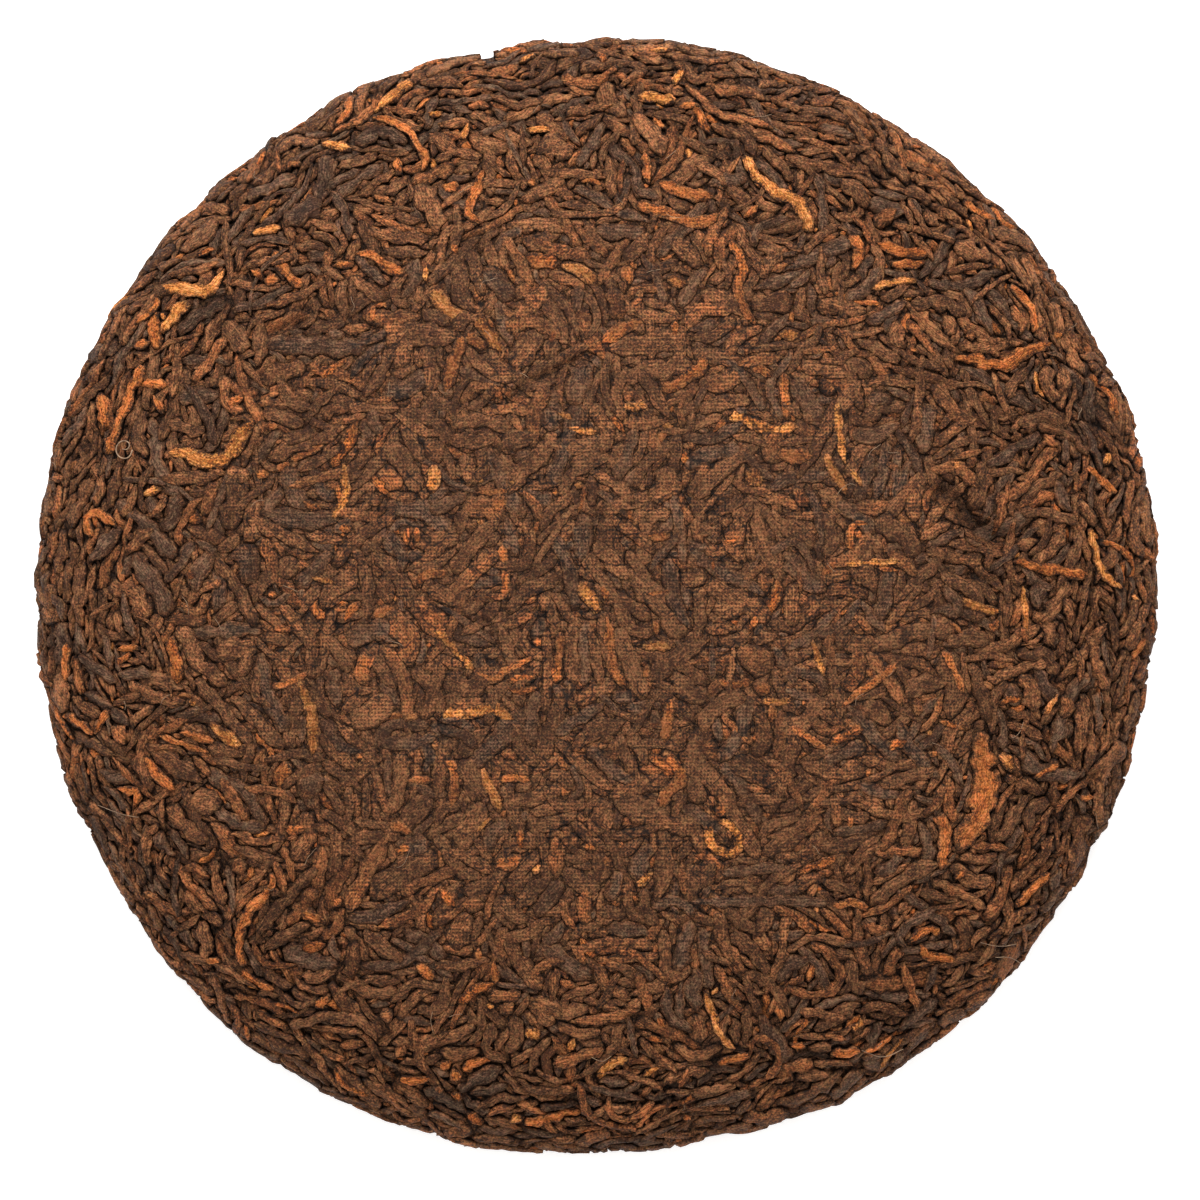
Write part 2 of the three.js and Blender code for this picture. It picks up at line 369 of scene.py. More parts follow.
BOTTOM = """
amber 1.8  316,1006 329,997
amber 2.1  416,965 435,980
amber 1.6  336,1066 347,1083 370,1095
amber 1.8  397,1081 431,1078
russet 1.4  437,1085 441,1093
russet 2.1  396,1056 405,1046
amber 1.8  441,1062 448,1070
russet 2.5  380,1016 393,1014
brown 1.1  437,1041 448,1032
russet 1.6  257,1012 288,1028
dark 2.5  291,1026 322,1016 357,1018 378,1039
russet 2.1  339,1047 364,1043
amber 1.1  247,1022 251,1037
gold 1.6  706,991 714,1018 724,1043 735,1051
gold 1.1  718,988 711,996
amber 1.8  718,1068 733,1062 750,1058
amber 1.4  658,1020 666,1032
russet 1.4  595,951 632,951 651,968 668,984
russet 2.3  637,974 645,995 647,1012
amber 1.6  494,961 496,984
amber 1.8  458,1003 484,985 496,984
russet 2.5  488,999 521,995
russet 3.2  500,1006 512,1014
gold 1.2  486,1006 494,1008
gold 2.8  526,1028 538,1043
gold 1.4  574,1039 568,1053
russet 2.5  553,1064 588,1057 604,1052
russet 1.6  580,1085 584,1112 603,1129 637,1135
russet 1.6  609,1099 609,1120 632,1125 655,1108
dark 1.8  614,1028 618,1047 599,1066 582,1078
gold 1.1  643,1081 660,1070
amber 1.4  645,1039 664,1045
russet 1.6  689,1070 680,1091
amber 1.1  693,1097 683,1108
amber 1.4  688,1121 690,1130
amber 1.8  452,1070 458,1082
amber 1.8  452,1094 460,1102
amber 2.5  466,1114 482,1127
gold 2.1  510,1127 521,1118
russet 1.8  532,980 540,965 565,961
amber 1.1  478,947 479,962
russet 1.9  811,946 826,949 838,963 842,980 830,993 807,999 788,988
amber 1.6  813,965 809,982
russet 1.8  821,909 838,923 851,940
gold 1.6  853,1032 861,1018
amber 1.4  779,1005 781,1022
amber 1.4  792,1047 807,1049
russet 1.6  750,1062 754,1041 761,1036 779,1047 781,1066 765,1083 750,1093
brown 1.6  970,972 982,974 997,965
"""
TRACED_LEAVES = (
    LEFT_SHOULDER, UPPER_LEFT, TOP, UPPER_RIGHT, MIDDLE_LEFT, MIDDLE_RIGHT, CENTRE,
    RIGHT, LOWER_RIGHT, LOWER_MIDDLE_RIGHT, LEFT, LOWER_LEFT, BOTTOM,
)
# Hairs and threads that show: what they are, their thickness in mm, and their pixels as above.
TRACED_HAIRS = """
gold 0.12  95,806 116,815 137,818
gold 0.12  980,942 997,946 1014,942
gold 0.12  995,957 1008,955 1018,961
gold 0.14  861,1049 882,1057 903,1049
gold 0.26  133,450 130,457 124,459 117,456 114,449 118,442 125,440 131,444 128,450 122,449
"""

# Dents of the face: deepest point and width in mm, and the pixels that each runs through.
DENTS = """
2.2 3.4  944,494 962,503 972,518 984,528 1001,540
1.6 2.2  1006,534 1020,532 1032,528
1.0 1.8  940,500 962,504
1.3 2.2  767,222 777,232 791,232 803,224
0.9 1.6  943,567 968,574 990,580 1010,584
1.0 1.8  866,196 879,212 892,222
0.8 1.5  792,301 812,310 838,313
1.1 1.8  256,330 277,327 296,318
1.2 1.8  508,399 532,383 560,369 590,356
1.0 1.7  473,398 492,407 512,398
"""

# Across a leaf: where its upper side has its rows of points, from one edge to the other, and the lower side.
ACROSS = np.array([-1, -0.72, -0.26, 0.26, 0.72, 1.0])
BENEATH = np.array([0.6, -0.6])
RING = len(ACROSS) + len(BENEATH)
END_QUADS = np.array([[7, 0, 1, 2], [7, 2, 3, 6], [6, 3, 4, 5]])


def linear(code):
    """A colour written as sRGB hex, as the linear red, green and blue that the shaders take."""
    shares = [int(code[at:at + 2], 16) / 255 for at in (1, 3, 5)]
    return [share / 12.92 if share <= 0.04045 else ((share + 0.055) / 1.055) ** 2.4 for share in shares]


def ease(value, start, end):
    """0 at start, 1 at end, and smooth in between."""
    share = np.clip((value - start) / (end - start), 0, 1)
    return share * share * (3 - 2 * share)


def pixels_in(words):
    """The pixels of the photograph among the words of a line."""
    return np.array([[float(x) for x in word.split(",")] for word in words if "," in word])


def camera_to_level(pixels, height):
    """Where the lines of sight through pixels of the photograph pass a height above the floor, in mm."""
    focal = LENS / SENSOR * PHOTO_WIDTH
    sight = (pixels - PHOTO_WIDTH / 2) * (1, -1) / focal
    above = CAMERA_PLACE[2] / MM - np.reshape(height, (-1, 1))
    return np.array(CAMERA_PLACE[:2]) / MM + sight * above


def length_property(name, description, millimetres):
    return FloatProperty(
        name=name, description=description, default=millimetres * MM, min=0, unit="LENGTH", precision=5
    )


def colour_property(name, description, code):
    return FloatVectorProperty(
        name=name, description=description, default=linear(code), min=0, max=1, subtype="COLOR"
    )


class TeaCakeSizes(bpy.types.PropertyGroup):
    """Sizes of the cake and its leaves."""

    radius: length_property("Radius", "Half the cake's width", HALF_WIDTH / MM)
    thickness: length_property("Thickness", "Height of the middle", CAKE_HIGH.z / MM)
    rim_height: length_property("Rim height", "How high the widest line of the edge lies", 7)
    foot_radius: length_property("Foot radius", "Outside of the flat ring that the cake stands on", 84)
    dimple_radius: length_property("Dimple radius", "Hollow that the knot of the bag leaves underneath", 29)
    dimple_depth: length_property("Dimple depth", "Depth of that hollow", 11)
    fold_depth: length_property("Fold depth", "Creases that the gathered cloth leaves in the hollow", 0.7)
    thread: length_property("Thread spacing", "Rows in the print of the pressing cloth", 0.67)
    seed: IntProperty(name="Seed", description="Another number gives another cake", default=11)


class TeaCakeColours(bpy.types.PropertyGroup):
    """The middle tone of each kind of leaf."""

    charcoal: colour_property("Charcoal leaves", "Fermented longest, with a grey cast", "#4e3729")
    dark: colour_property("Dark leaves", "Most of the pressed leaf", "#5b3922")
    brown: colour_property("Brown leaves", "Leaf with some copper in it", "#6b4227")
    russet: colour_property("Russet leaves", "Leaf that stayed redder", "#784626")
    amber: colour_property("Amber leaves", "Pale leaf and stalk", "#a25926")
    gold: colour_property("Golden buds", "Downy tips, the palest of the cake", "#bd7435")


class Skin:
    """The cake's outer surface: a profile from the middle of the face round to the middle of the underside.

    s is the distance along that profile in mm, and depth is how far below the surface a point lies.
    """

    STEP = 0.25
    FACE_FLATNESS = 3.2
    FACE_FULLNESS = 0.62
    DIMPLE_FOLDS = 9
    # Height in mm below which the table has pressed everything up.
    LEVELLED = 0.25
    # Distances along the profile in mm, over which the press takes hold: on the face, counted from its
    # middle, on the ring underneath, counted from the middle of the dimple, and off the widest line.
    FACE_HOLD = (103, 42)
    RING_HOLD = (16, 34)
    RING_END = (92, 74)
    EDGE_HOLD = (11, 4)
    RING_SHUT, EDGE_SHUT = 0.85, 0.4
    # Low swellings: how many waves, their lengths in mm, their height in mm where pressed, and what is added
    # to it where the leaves are loose.
    LUMPS = 16
    LUMP_LENGTHS = (9, 26)
    LUMP_PRESSED, LUMP_LOOSE = 0.1, 0.42

    def __init__(self, sizes):
        self.radius, self.rim, self.top = (x / MM for x in (sizes.radius, sizes.rim_height, sizes.thickness))
        self.foot, self.hollow = sizes.foot_radius / MM, sizes.dimple_radius / MM
        self.fold = sizes.fold_depth / MM
        face_r = self.radius * (1 - (1 - np.linspace(0, 1, 500)) ** 3)
        face_z = self.face_height(face_r)
        turn = np.linspace(0, math.pi / 2, 160)[1:]
        edge_r = self.foot + (self.radius - self.foot) * np.cos(turn)
        edge_z = self.rim * (1 - np.sin(turn))
        ring_r = np.linspace(self.foot, self.hollow, 100)[1:]
        dimple_r = np.linspace(self.hollow, 0, 200)[1:]
        dimple_z = sizes.dimple_depth / MM * (1 - (dimple_r / self.hollow) ** 2) ** 1.5
        r = np.concatenate((face_r, edge_r, ring_r, dimple_r))
        z = np.concatenate((face_z, edge_z, ring_r * 0, dimple_z))
        along = np.concatenate(([0], np.cumsum(np.hypot(np.diff(r), np.diff(z)))))
        self.s = np.arange(0, along[-1], self.STEP)
        self.r, self.z = np.interp(self.s, along, r), np.interp(self.s, along, z)
        slope_r, slope_z = np.gradient(self.r, self.STEP), np.gradient(self.z, self.STEP)
        size = np.hypot(slope_r, slope_z)
        self.out_r, self.out_z = -slope_z / size, slope_r / size
        self.total = self.s[-1]
        self.widest = int(np.argmax(self.r))
        rng = np.random.default_rng(sizes.seed)
        self.lump_waves = rng.normal(size=(self.LUMPS, 3))
        drawn = np.linalg.norm(self.lump_waves, axis=1)
        self.lump_waves *= (2 * math.pi / rng.uniform(*self.LUMP_LENGTHS, self.LUMPS) / drawn)[:, None]
        self.lump_turns = rng.uniform(0, 2 * math.pi, self.LUMPS)
        self.dents = []
        for line in DENTS.split("\n"):
            words = line.split()
            if words:
                route = camera_to_level(pixels_in(words), self.top)
                self.dents.append((float(words[0]), float(words[1]), route))

    def face_height(self, r):
        share = 1 - np.clip(r / self.radius, 0, 1) ** self.FACE_FLATNESS
        return self.rim + (self.top - self.rim) * share ** self.FACE_FULLNESS

    def face_distance(self, r):
        """s of a point on the face that lies r from the middle."""
        return np.interp(r, self.r[:self.widest + 1], self.s[:self.widest + 1])

    def pressed(self, s):
        """1 where the press made the leaves flat and shut, 0 where they stay round with gaps between."""
        face = ease(s, *self.FACE_HOLD)
        back = self.total - s
        foot = ease(back, *self.RING_HOLD) * ease(back, *self.RING_END) * self.RING_SHUT
        edge = ease(np.abs(s - self.s[self.widest]), *self.EDGE_HOLD) * self.EDGE_SHUT
        return np.maximum(np.maximum(face, foot), edge)

    def lumps(self, points, s):
        """Low swellings of the surface, in mm, stronger near the edge."""
        waves = np.cos(points @ self.lump_waves.T + self.lump_turns).sum(-1) / math.sqrt(self.LUMPS)
        return waves * (self.LUMP_PRESSED + self.LUMP_LOOSE * (1 - self.pressed(s)))

    def dent_depth(self, points):
        """How far the dents of the face go down at points of the cake, in mm."""
        depth = np.zeros(len(points))
        near = np.nonzero(points[:, 2] > self.rim)[0]
        level = points[near, :2]
        for deepest, width, route in self.dents:
            start, run = route[:-1], np.diff(route, axis=0)
            away = level[:, None] - start[None]
            share = np.clip((away * run).sum(-1) / (run ** 2).sum(-1), 0, 1)
            apart = np.linalg.norm(away - share[..., None] * run, axis=-1).min(1)
            depth[near] = np.maximum(depth[near], deepest * np.exp(-(2 * apart / width) ** 2))
        return depth

    def place(self, s, angle, depth):
        """Points of the cake in mm, from places on its skin."""
        r, z = np.interp(s, self.s, self.r), np.interp(s, self.s, self.z)
        out_r, out_z = np.interp(s, self.s, self.out_r), np.interp(s, self.s, self.out_z)
        inside = (s > self.s[self.widest]) & (r < self.hollow)
        bowl = (1 - np.clip(r / self.hollow, 0, 1) ** 2) ** 1.5
        folds = 1 + np.sin(self.DIMPLE_FOLDS * angle) * np.sin(math.pi * r / self.hollow)
        z = z + inside * self.fold * folds * np.minimum(1, 3 * bowl)
        wave = sum(h * np.cos(k * (angle - math.radians(crest))) for k, h, crest in EDGE_WAVES)
        level = np.stack((r * np.cos(angle), r * np.sin(angle), z), -1)
        rise = self.lumps(level, s) - self.dent_depth(level) - depth
        r = r + wave * (r / self.radius) ** 6 + out_r * rise
        z = z + out_z * rise
        # Nothing goes through the table, and the layers above it stay in their order.
        z = np.where(z < self.LEVELLED, self.LEVELLED * np.exp(np.minimum(z / self.LEVELLED, 1) - 1), z)
        return np.stack((r * np.cos(angle), r * np.sin(angle), z), -1)


class Chart:
    """One side of the skin laid out flat round its middle.

    ceiling is how deep the next leaf has to go at each spot, 0 where none lies yet. Leaves don't start where
    it is shut, and don't reach where it is barred. Lengths are in mm.
    """

    CELL = 0.3
    # Room round the part where leaves start, how far the notch stays off its edge, and how far the leaves of
    # the two sides reach over each other there.
    MARGIN = 9.0
    NOTCH_END = 4
    OVERLAP = 3

    def __init__(self, skin, side, reach):
        self.skin, self.side, self.reach = skin, side, reach
        self.half = reach + self.MARGIN
        count = int(2 * self.half / self.CELL)
        middles = (np.arange(count) + 0.5) * self.CELL - self.half
        self.u, self.v = np.meshgrid(middles, middles)
        self.ceiling = np.zeros((count, count), np.float32)
        self.shut = np.hypot(self.u, self.v) > reach
        self.barred = np.hypot(self.u, self.v) > reach + self.MARGIN - 1
        if side == "face":
            self.cut_notch()
        self.leaves = []

    def cut_notch(self):
        """No leaf lies in the notch at the edge."""
        s, angle = self.distance(self.u, self.v), np.arctan2(self.v, self.u)
        turned = np.abs((angle - NOTCH["angle"] + math.pi) % (2 * math.pi) - math.pi)
        start = self.skin.s[self.skin.widest] - NOTCH["run"] * NOTCH["depth"]
        inside = (s > start) & (s < self.reach - self.NOTCH_END)
        self.barred |= (turned * self.skin.radius < NOTCH["width"] / 2) & inside
        self.shut |= self.barred

    def distance(self, u, v):
        s = np.hypot(u, v)
        return s if self.side == "face" else np.maximum(self.skin.total - s, 0)

    def cells(self, points):
        index = ((points + self.half) / self.CELL).astype(int)
        index = np.clip(index, 0, self.ceiling.shape[0] - 1)
        return index[..., 1], index[..., 0]

    def open_spots(self, rng, count):
        rows, columns = np.nonzero((self.ceiling == 0) & ~self.shut)
        if not len(rows):
            return np.zeros((0, 2))
        picked = rng.choice(len(rows), min(count, len(rows)), replace=False)
        return np.stack((self.u[rows[picked], columns[picked]], self.v[rows[picked], columns[picked]]), -1)

    def take_over(self, other):
        """The leaves of the other side that reach round the edge lie here too."""
        s = self.distance(self.u, self.v)
        angle = np.arctan2(self.v, self.u)
        there = other.skin.total - s if other.side == "back" else s
        points = np.stack((there * np.cos(angle), there * np.sin(angle)), -1)
        inside = there < other.reach
        covered = np.where(inside, other.ceiling[other.cells(points)], 0)
        self.ceiling = np.maximum(self.ceiling, covered).astype(np.float32)
        self.shut |= there < other.reach - self.OVERLAP


def spread_weights(count, at):
    """Rows that mix count evenly spaced values into the values at the given shares of their length."""
    place = np.clip(np.asarray(at) * (count - 1), 0, count - 1)
    low = np.minimum(place.astype(int), count - 2)
    weights = np.zeros((len(place), count))
    rows = np.arange(len(place))
    weights[rows, low] = 1 - (place - low)
    weights[rows, low + 1] = place - low
    return weights


def across_weights(at):
    """The same between the rows of points across a leaf."""
    return np.stack([np.interp(at, ACROSS, row) for row in np.eye(len(ACROSS))], -1)


def smooth_route(points, step):
    """A rounded line through points, with a point every step or so."""
    points = np.asarray(points, float)
    for _ in range(3):
        near = points[:-1] * 0.75 + points[1:] * 0.25
        far = points[:-1] * 0.25 + points[1:] * 0.75
        points = np.concatenate((points[:1], np.stack((near, far), 1).reshape(-1, 2), points[-1:]))
    along = np.concatenate(([0], np.cumsum(np.linalg.norm(np.diff(points, axis=0), axis=1))))
    count = max(4, int(round(along[-1] / step)) + 1)
    at = np.linspace(0, along[-1], count)
    return np.stack((np.interp(at, along, points[:, 0]), np.interp(at, along, points[:, 1])), -1)


# Distance in mm between the rings of points along a leaf.
STEP_ALONG = {"face": 1.15, "back": 1.7}

# A rolled leaf is round with ridges that wind along it, and a flat one has edges that turn down late.
ROLLED = {"crown": 2.1, "ridge": 0.24, "twist": 0.5}
FLAT = {"crown": 4.5, "ridge": 0.09, "twist": 0.0}

# Width in mm above which every leaf is flat. Of the rest, the share of flat ones where loose, and what the
# press adds to it.
ALL_FLAT = 3.0
FLAT_SHARE = (0.2, 0.6)

# How far a leaf's middle strays, and how uneven its edges are: loose, and how much less if pressed.
STRAY = (0.13, 0.07)
RAGGED = (0.22, 0.1)

# Outline: share of the width left at an end, share of the length over which it narrows, what the last ring
# keeps of it, and swellings of the edges with the mm between them and their limits.
END_WIDTH = (0.2, 0.95)
END_LENGTH = (0.06, 0.4)
TIP_KEEPS = 0.62
SWELL = 0.15
SWELL_APART = (3.5, 8)
EDGE_LIMITS = (0.45, 1.7)

# Thickness in mm: share of the width and limits where loose, and limits where pressed.
THICK_SHARE = 0.38
THICK_LIMITS = (0.4, 0.8)
PRESSED_THICK = (0.05, 0.2)

# How far an end lifts or sinks in mm, loose and pressed, and how many thicknesses the last ring turns down.
END_LIFT = (0.30, 0.02)
END_TURN = 0.25

# How far the edges turn down in mm: at most, for each mm of width, and where pressed.
EDGE_DROP = (0.65, 0.3)
PRESSED_DROP = (0.0, 0.16)

# Ridges: how many half turns they make across a leaf, how their twist differs, how much of them the press
# takes away, the unevenness in mm, how the crown differs along a leaf, and how far a ridge may stand proud.
RIDGES = (1.1, 2.1)
TWISTS = (0.5, 1.4)
PRESS_TAKES = 0.85
UNEVEN = 0.11
CROWNS = (0.45, 1.35)
PROUDEST = -0.15

# How much further than its own thickness a loose leaf reaches into the mass, so that no gap opens beneath.
ROOTED = 0.9

# How steeply a pressed leaf can bend down under another one, in mm for each mm.
STEEPEST = 0.85

# Distance in mm between the spots that a leaf closes, and the share of its width that they take up.
CLOSED_APART = 0.2
CLOSED_WIDTH = 0.94

# How much the tone differs from leaf to leaf and at most, how far the fibres wind, and how far apart in mm
# two leaves can take their wrinkles.
TONES = 0.5
TONE_LIMIT = 1.2
WINDING = 0.3
FIBRE_SPREAD = 900


def leaf_edges(along, share, width, pressed, rng):
    """Half widths to the left and right along a leaf, with blunt or tapering ends."""
    end_widths, end_lengths = rng.uniform(*END_WIDTH, 2), rng.uniform(*END_LENGTH, 2)
    taper = (end_widths[0] + (1 - end_widths[0]) * ease(share, 0, end_lengths[0]))
    taper *= (end_widths[1] + (1 - end_widths[1]) * ease(share, 1, 1 - end_lengths[1]))
    taper[[0, -1]] *= TIP_KEEPS
    sides = []
    for turn in rng.uniform(0, 2 * math.pi, 2):
        beat = 2 * math.pi / rng.uniform(*SWELL_APART)
        ragged = rng.normal(0, RAGGED[0] - RAGGED[1] * pressed, len(share))
        edge = np.clip(1 + SWELL * np.sin(along * beat + turn) + ragged, *EDGE_LIMITS)
        sides.append(width / 2 * taper * edge)
    return np.where(ACROSS[None, :] < 0, sides[0][:, None], sides[1][:, None])


def lay_leaf(chart, route, width, kind, rng, sunk=0.0):
    """Lays one leaf along a route on the chart, under whatever lies there already."""
    skin = chart.skin
    route = smooth_route(route, STEP_ALONG[chart.side])
    count = len(route)
    share = np.linspace(0, 1, count)
    ahead = np.gradient(route, axis=0)
    ahead /= np.linalg.norm(ahead, axis=1)[:, None] + 1e-9
    aside = np.stack((-ahead[:, 1], ahead[:, 0]), -1)
    along = share * np.linalg.norm(np.diff(route, axis=0), axis=1).sum()
    pressed = float(skin.pressed(chart.distance(*route[count // 2])))
    form = FLAT if width > ALL_FLAT or rng.random() < FLAT_SHARE[0] + FLAT_SHARE[1] * pressed else ROLLED
    stray = rng.normal(0, STRAY[0] - STRAY[1] * pressed, count) * min(1, width / 2)
    route = route + aside * stray[:, None]
    half = leaf_edges(along, share, width, pressed, rng)
    points = route[:, None, :] + aside[:, None, :] * (ACROSS[None, :] * half)[..., None]

    # How deep it has to go: under each leaf that it meets, rising again as steeply as a pressed leaf bends.
    fine_along = spread_weights(count, np.linspace(0, 1, 2 * count - 1))
    fine_across = across_weights(np.linspace(-1, 1, 7))
    met_points = np.einsum("an,nmk,bm->abk", fine_along, points, fine_across)
    met = chart.ceiling[chart.cells(met_points)].ravel()
    met_points = met_points.reshape(-1, 2)[met > 0]
    met = met[met > 0]
    thickness = (1 - pressed) * np.clip(width * THICK_SHARE, *THICK_LIMITS)
    thickness = thickness + pressed * rng.uniform(*PRESSED_THICK)
    lift = rng.normal(0, 1, 2) * (END_LIFT[0] * (1 - pressed) + END_LIFT[1])
    depth = np.maximum(0, sunk + lift[0] * (1 - share) + lift[1] * share)
    depth = depth[:, None] + np.zeros((1, len(ACROSS)))
    if len(met):
        apart = np.linalg.norm(points.reshape(-1, 1, 2) - met_points[None], axis=2)
        needed = (met[None] - STEEPEST * apart).max(1).reshape(depth.shape)
        depth = np.maximum(depth, needed)
    depth[[0, -1]] += END_TURN * thickness

    # The leaf closes the open cells that it covers.
    rows = max(2, int(along[-1] / CLOSED_APART))
    columns = max(3, int(width / CLOSED_APART))
    rows_at, columns_at = np.linspace(0, 1, rows), np.linspace(-CLOSED_WIDTH, CLOSED_WIDTH, columns)
    fill_along, fill_across = spread_weights(count, rows_at), across_weights(columns_at)
    filled = chart.cells(np.einsum("an,nmk,bm->abk", fill_along, points, fill_across))
    lowest = np.einsum("an,nm,bm->ab", fill_along, depth + thickness, fill_across)
    is_open = chart.ceiling[filled] == 0
    chart.ceiling[filled[0][is_open], filled[1][is_open]] = lowest[is_open]

    # Relief of the upper side: a crowned section, and ridges that wind round a rolled leaf.
    edge = (1 - pressed) * min(EDGE_DROP[0], EDGE_DROP[1] * width) + pressed * rng.uniform(*PRESSED_DROP)
    crown = edge * np.abs(ACROSS) ** form["crown"]
    phase, number = rng.uniform(0, 2 * math.pi), rng.uniform(*RIDGES)
    twist = form["twist"] * rng.choice((-1, 1)) * rng.uniform(*TWISTS)
    wind = math.pi * number * ACROSS[None, :] + twist * along[:, None] + phase
    loose = (1 - PRESS_TAKES * pressed) * min(1, width / 2)
    ridge = form["ridge"] * loose * np.cos(wind) + rng.normal(0, UNEVEN, depth.shape) * loose
    crown = crown * rng.uniform(*CROWNS, (count, 1))
    upper = np.maximum(depth + crown + ridge, PROUDEST)
    lower = depth[:, [4, 1]] + thickness + ROOTED * (1 - pressed)
    lower_points = route[:, None, :] + aside[:, None, :] * (BENEATH[None, :] * half[:, [4, 1]])[..., None]
    tone = float(np.clip(rng.normal(0, TONES), -TONE_LIMIT, TONE_LIMIT))
    strand = np.concatenate((ACROSS[None, :] * half, BENEATH[None, :] * half[:, [4, 1]]), 1)
    to_end = np.minimum(along, along[-1] - along) / (0.5 * width)
    middle = np.clip(to_end, 0, 1)[:, None] * (1 - np.abs(np.concatenate((ACROSS, [1, 1])))[None, :])
    chart.leaves.append({
        "kind": kind,
        "points": np.concatenate((points, lower_points), 1).reshape(-1, 2),
        "depth": np.concatenate((upper, lower), 1).ravel(),
        "fibre": np.stack((
            (strand + WINDING * twist * along[:, None]).ravel(),
            np.repeat(along, RING),
            np.full(count * RING, rng.uniform(0, FIBRE_SPREAD)),
        ), -1),
        "middle": middle.ravel(),
        "tone": tone,
        "rings": count,
    })


def traced(skin, text):
    """Kind, width and route of each thing in a block of lines, with its pixels brought onto the cake."""
    for line in text.split("\n"):
        words = line.split()
        if words:
            yield words[0], float(words[1]), camera_to_chart(skin, pixels_in(words))


def camera_to_chart(skin, pixels):
    """Where the lines of sight through pixels of the photograph meet the face."""
    height = np.full(len(pixels), skin.rim)
    for _ in range(6):
        level = camera_to_level(pixels, height)
        r = np.minimum(np.hypot(*level.T), skin.radius - 0.05)
        height = skin.face_height(r)
    s, angle = skin.face_distance(r), np.arctan2(level[:, 1], level[:, 0])
    return np.stack((s * np.cos(angle), s * np.sin(angle)), -1)


# Rounds in which the spaces between the leaves fill up: share of a leaf that has to show, the
# lengths that are tried in mm, and how many spots are tried, in batches.
FILLING_ROUNDS = (
    (0.85, (4, 11), 900),
    (0.60, (7, 16), 1800),
    (0.50, (6, 13), 3000),
    (0.45, (4, 9), 4200),
    (0.40, (3, 6.5), 6000),
    (0.34, (1.9, 4.2), 9000),
    (0.30, (1.3, 2.6), 6000),
)
BATCHES = 6

# Each leaf is tried in so many ways. They bend and swing so far, in radians, and lie off the spot by up to so
# much of their length. Near the edge they lie round it, within so many radians: from so many mm inside its
# widest line to so large a share of the whole profile.
TRIALS = 12
BEND, SWING = 0.48, 0.27
OFF_SPOT = 0.3
EDGE_START, EDGE_END, EDGE_SPREAD = 20, 0.62, 0.42
# Where across a leaf, in half widths, it is tested for open spots.
TESTED = np.array([-0.8, 0, 0.8])

# Middle width in mm where loose, what the press adds, its spread and limits, how short leaves are narrower
# (half as wide, and full width from half this length in mm on), and the size of pale leaves.
LEAF_WIDTH = (1.85, 0.7)
WIDTH_SPREAD = 0.33
WIDTH_LIMITS = (0.9, 4.6)
SHORT_WIDTH, SHORT_LENGTH = 0.5, 13
PALE_WIDTH, PALE_LENGTH = 0.8, 0.7

# How far below the surface the leaves start, in mm, loose and pressed.
SUNK = (0.22, 0.02)


def trial_routes(chart, spot, s, length, rng):
    """Bent lines of nine points through a spot, and the directions that they run in."""
    at = np.linspace(-0.5, 0.5, 9)
    headings = rng.uniform(0, math.pi, TRIALS)
    if chart.skin.s[chart.skin.widest] - EDGE_START < s < chart.skin.total * EDGE_END:
        round_edge = math.atan2(spot[1], spot[0]) + math.pi / 2
        headings = round_edge + rng.normal(0, EDGE_SPREAD, TRIALS)
    bends = rng.normal(0, BEND, TRIALS)
    swings = rng.normal(0, SWING, TRIALS)
    turns = headings[:, None] + bends[:, None] * at + swings[:, None] * np.sin(2 * math.pi * at)
    steps = np.stack((np.cos(turns), np.sin(turns)), -1) * length / 8
    routes = np.cumsum(steps, 1)
    routes += (spot - routes[:, 4, :])[:, None, :]
    offset = rng.uniform(-OFF_SPOT, OFF_SPOT, TRIALS) * length
    routes += (np.stack((np.cos(headings), np.sin(headings)), -1) * offset[:, None])[:, None, :]
    return routes, turns


def fill_with_leaves(chart, rng):
    """Lays leaves where the chart is still open, the long ones first."""
    names = list(KIND_SHARES)
    odds = np.array([KIND_SHARES[name] for name in names])
    odds /= odds.sum()
    for needed, lengths, tries in [one_round for one_round in FILLING_ROUNDS for _ in range(BATCHES)]:
        for spot in chart.open_spots(rng, tries // BATCHES):
            if chart.ceiling[chart.cells(spot)] > 0:
                continue
            s = chart.distance(*spot)
            pressed = float(chart.skin.pressed(s))
            length = rng.uniform(*lengths)
            kind = names[rng.choice(len(names), p=odds)]
            middle_width = LEAF_WIDTH[0] + LEAF_WIDTH[1] * pressed
            width = np.clip(rng.lognormal(math.log(middle_width), WIDTH_SPREAD), *WIDTH_LIMITS)
            width *= min(1, SHORT_WIDTH + length / SHORT_LENGTH)
            if kind in ("amber", "gold"):
                width, length = width * PALE_WIDTH, length * PALE_LENGTH
            routes, turns = trial_routes(chart, spot, s, length, rng)
            aside = np.stack((-np.sin(turns), np.cos(turns)), -1) * width / 2
            tested = routes[:, :, None, :] + aside[:, :, None, :] * TESTED[:, None]
            cells = chart.cells(tested)
            free = (chart.ceiling[cells] == 0).mean((1, 2))
            free[chart.barred[cells].any((1, 2))] = 0
            best = int(np.argmax(free))
            if free[best] >= needed:
                sunk = abs(rng.normal(0, SUNK[0])) * (1 - pressed) + SUNK[1]
                lay_leaf(chart, routes[best], width, kind, rng, sunk)


def leaf_quads(rings):
    """Faces of one leaf, counted from its first point."""
    ring, side = np.meshgrid(np.arange(rings - 1), np.arange(RING), indexing="ij")
    here, beside = ring * RING + side, ring * RING + (side + 1) % RING
    walls = np.stack((here, here + RING, beside + RING, beside), -1).reshape(-1, 4)
    last = (rings - 1) * RING
    return np.concatenate((walls, END_QUADS, last + END_QUADS[:, ::-1]))


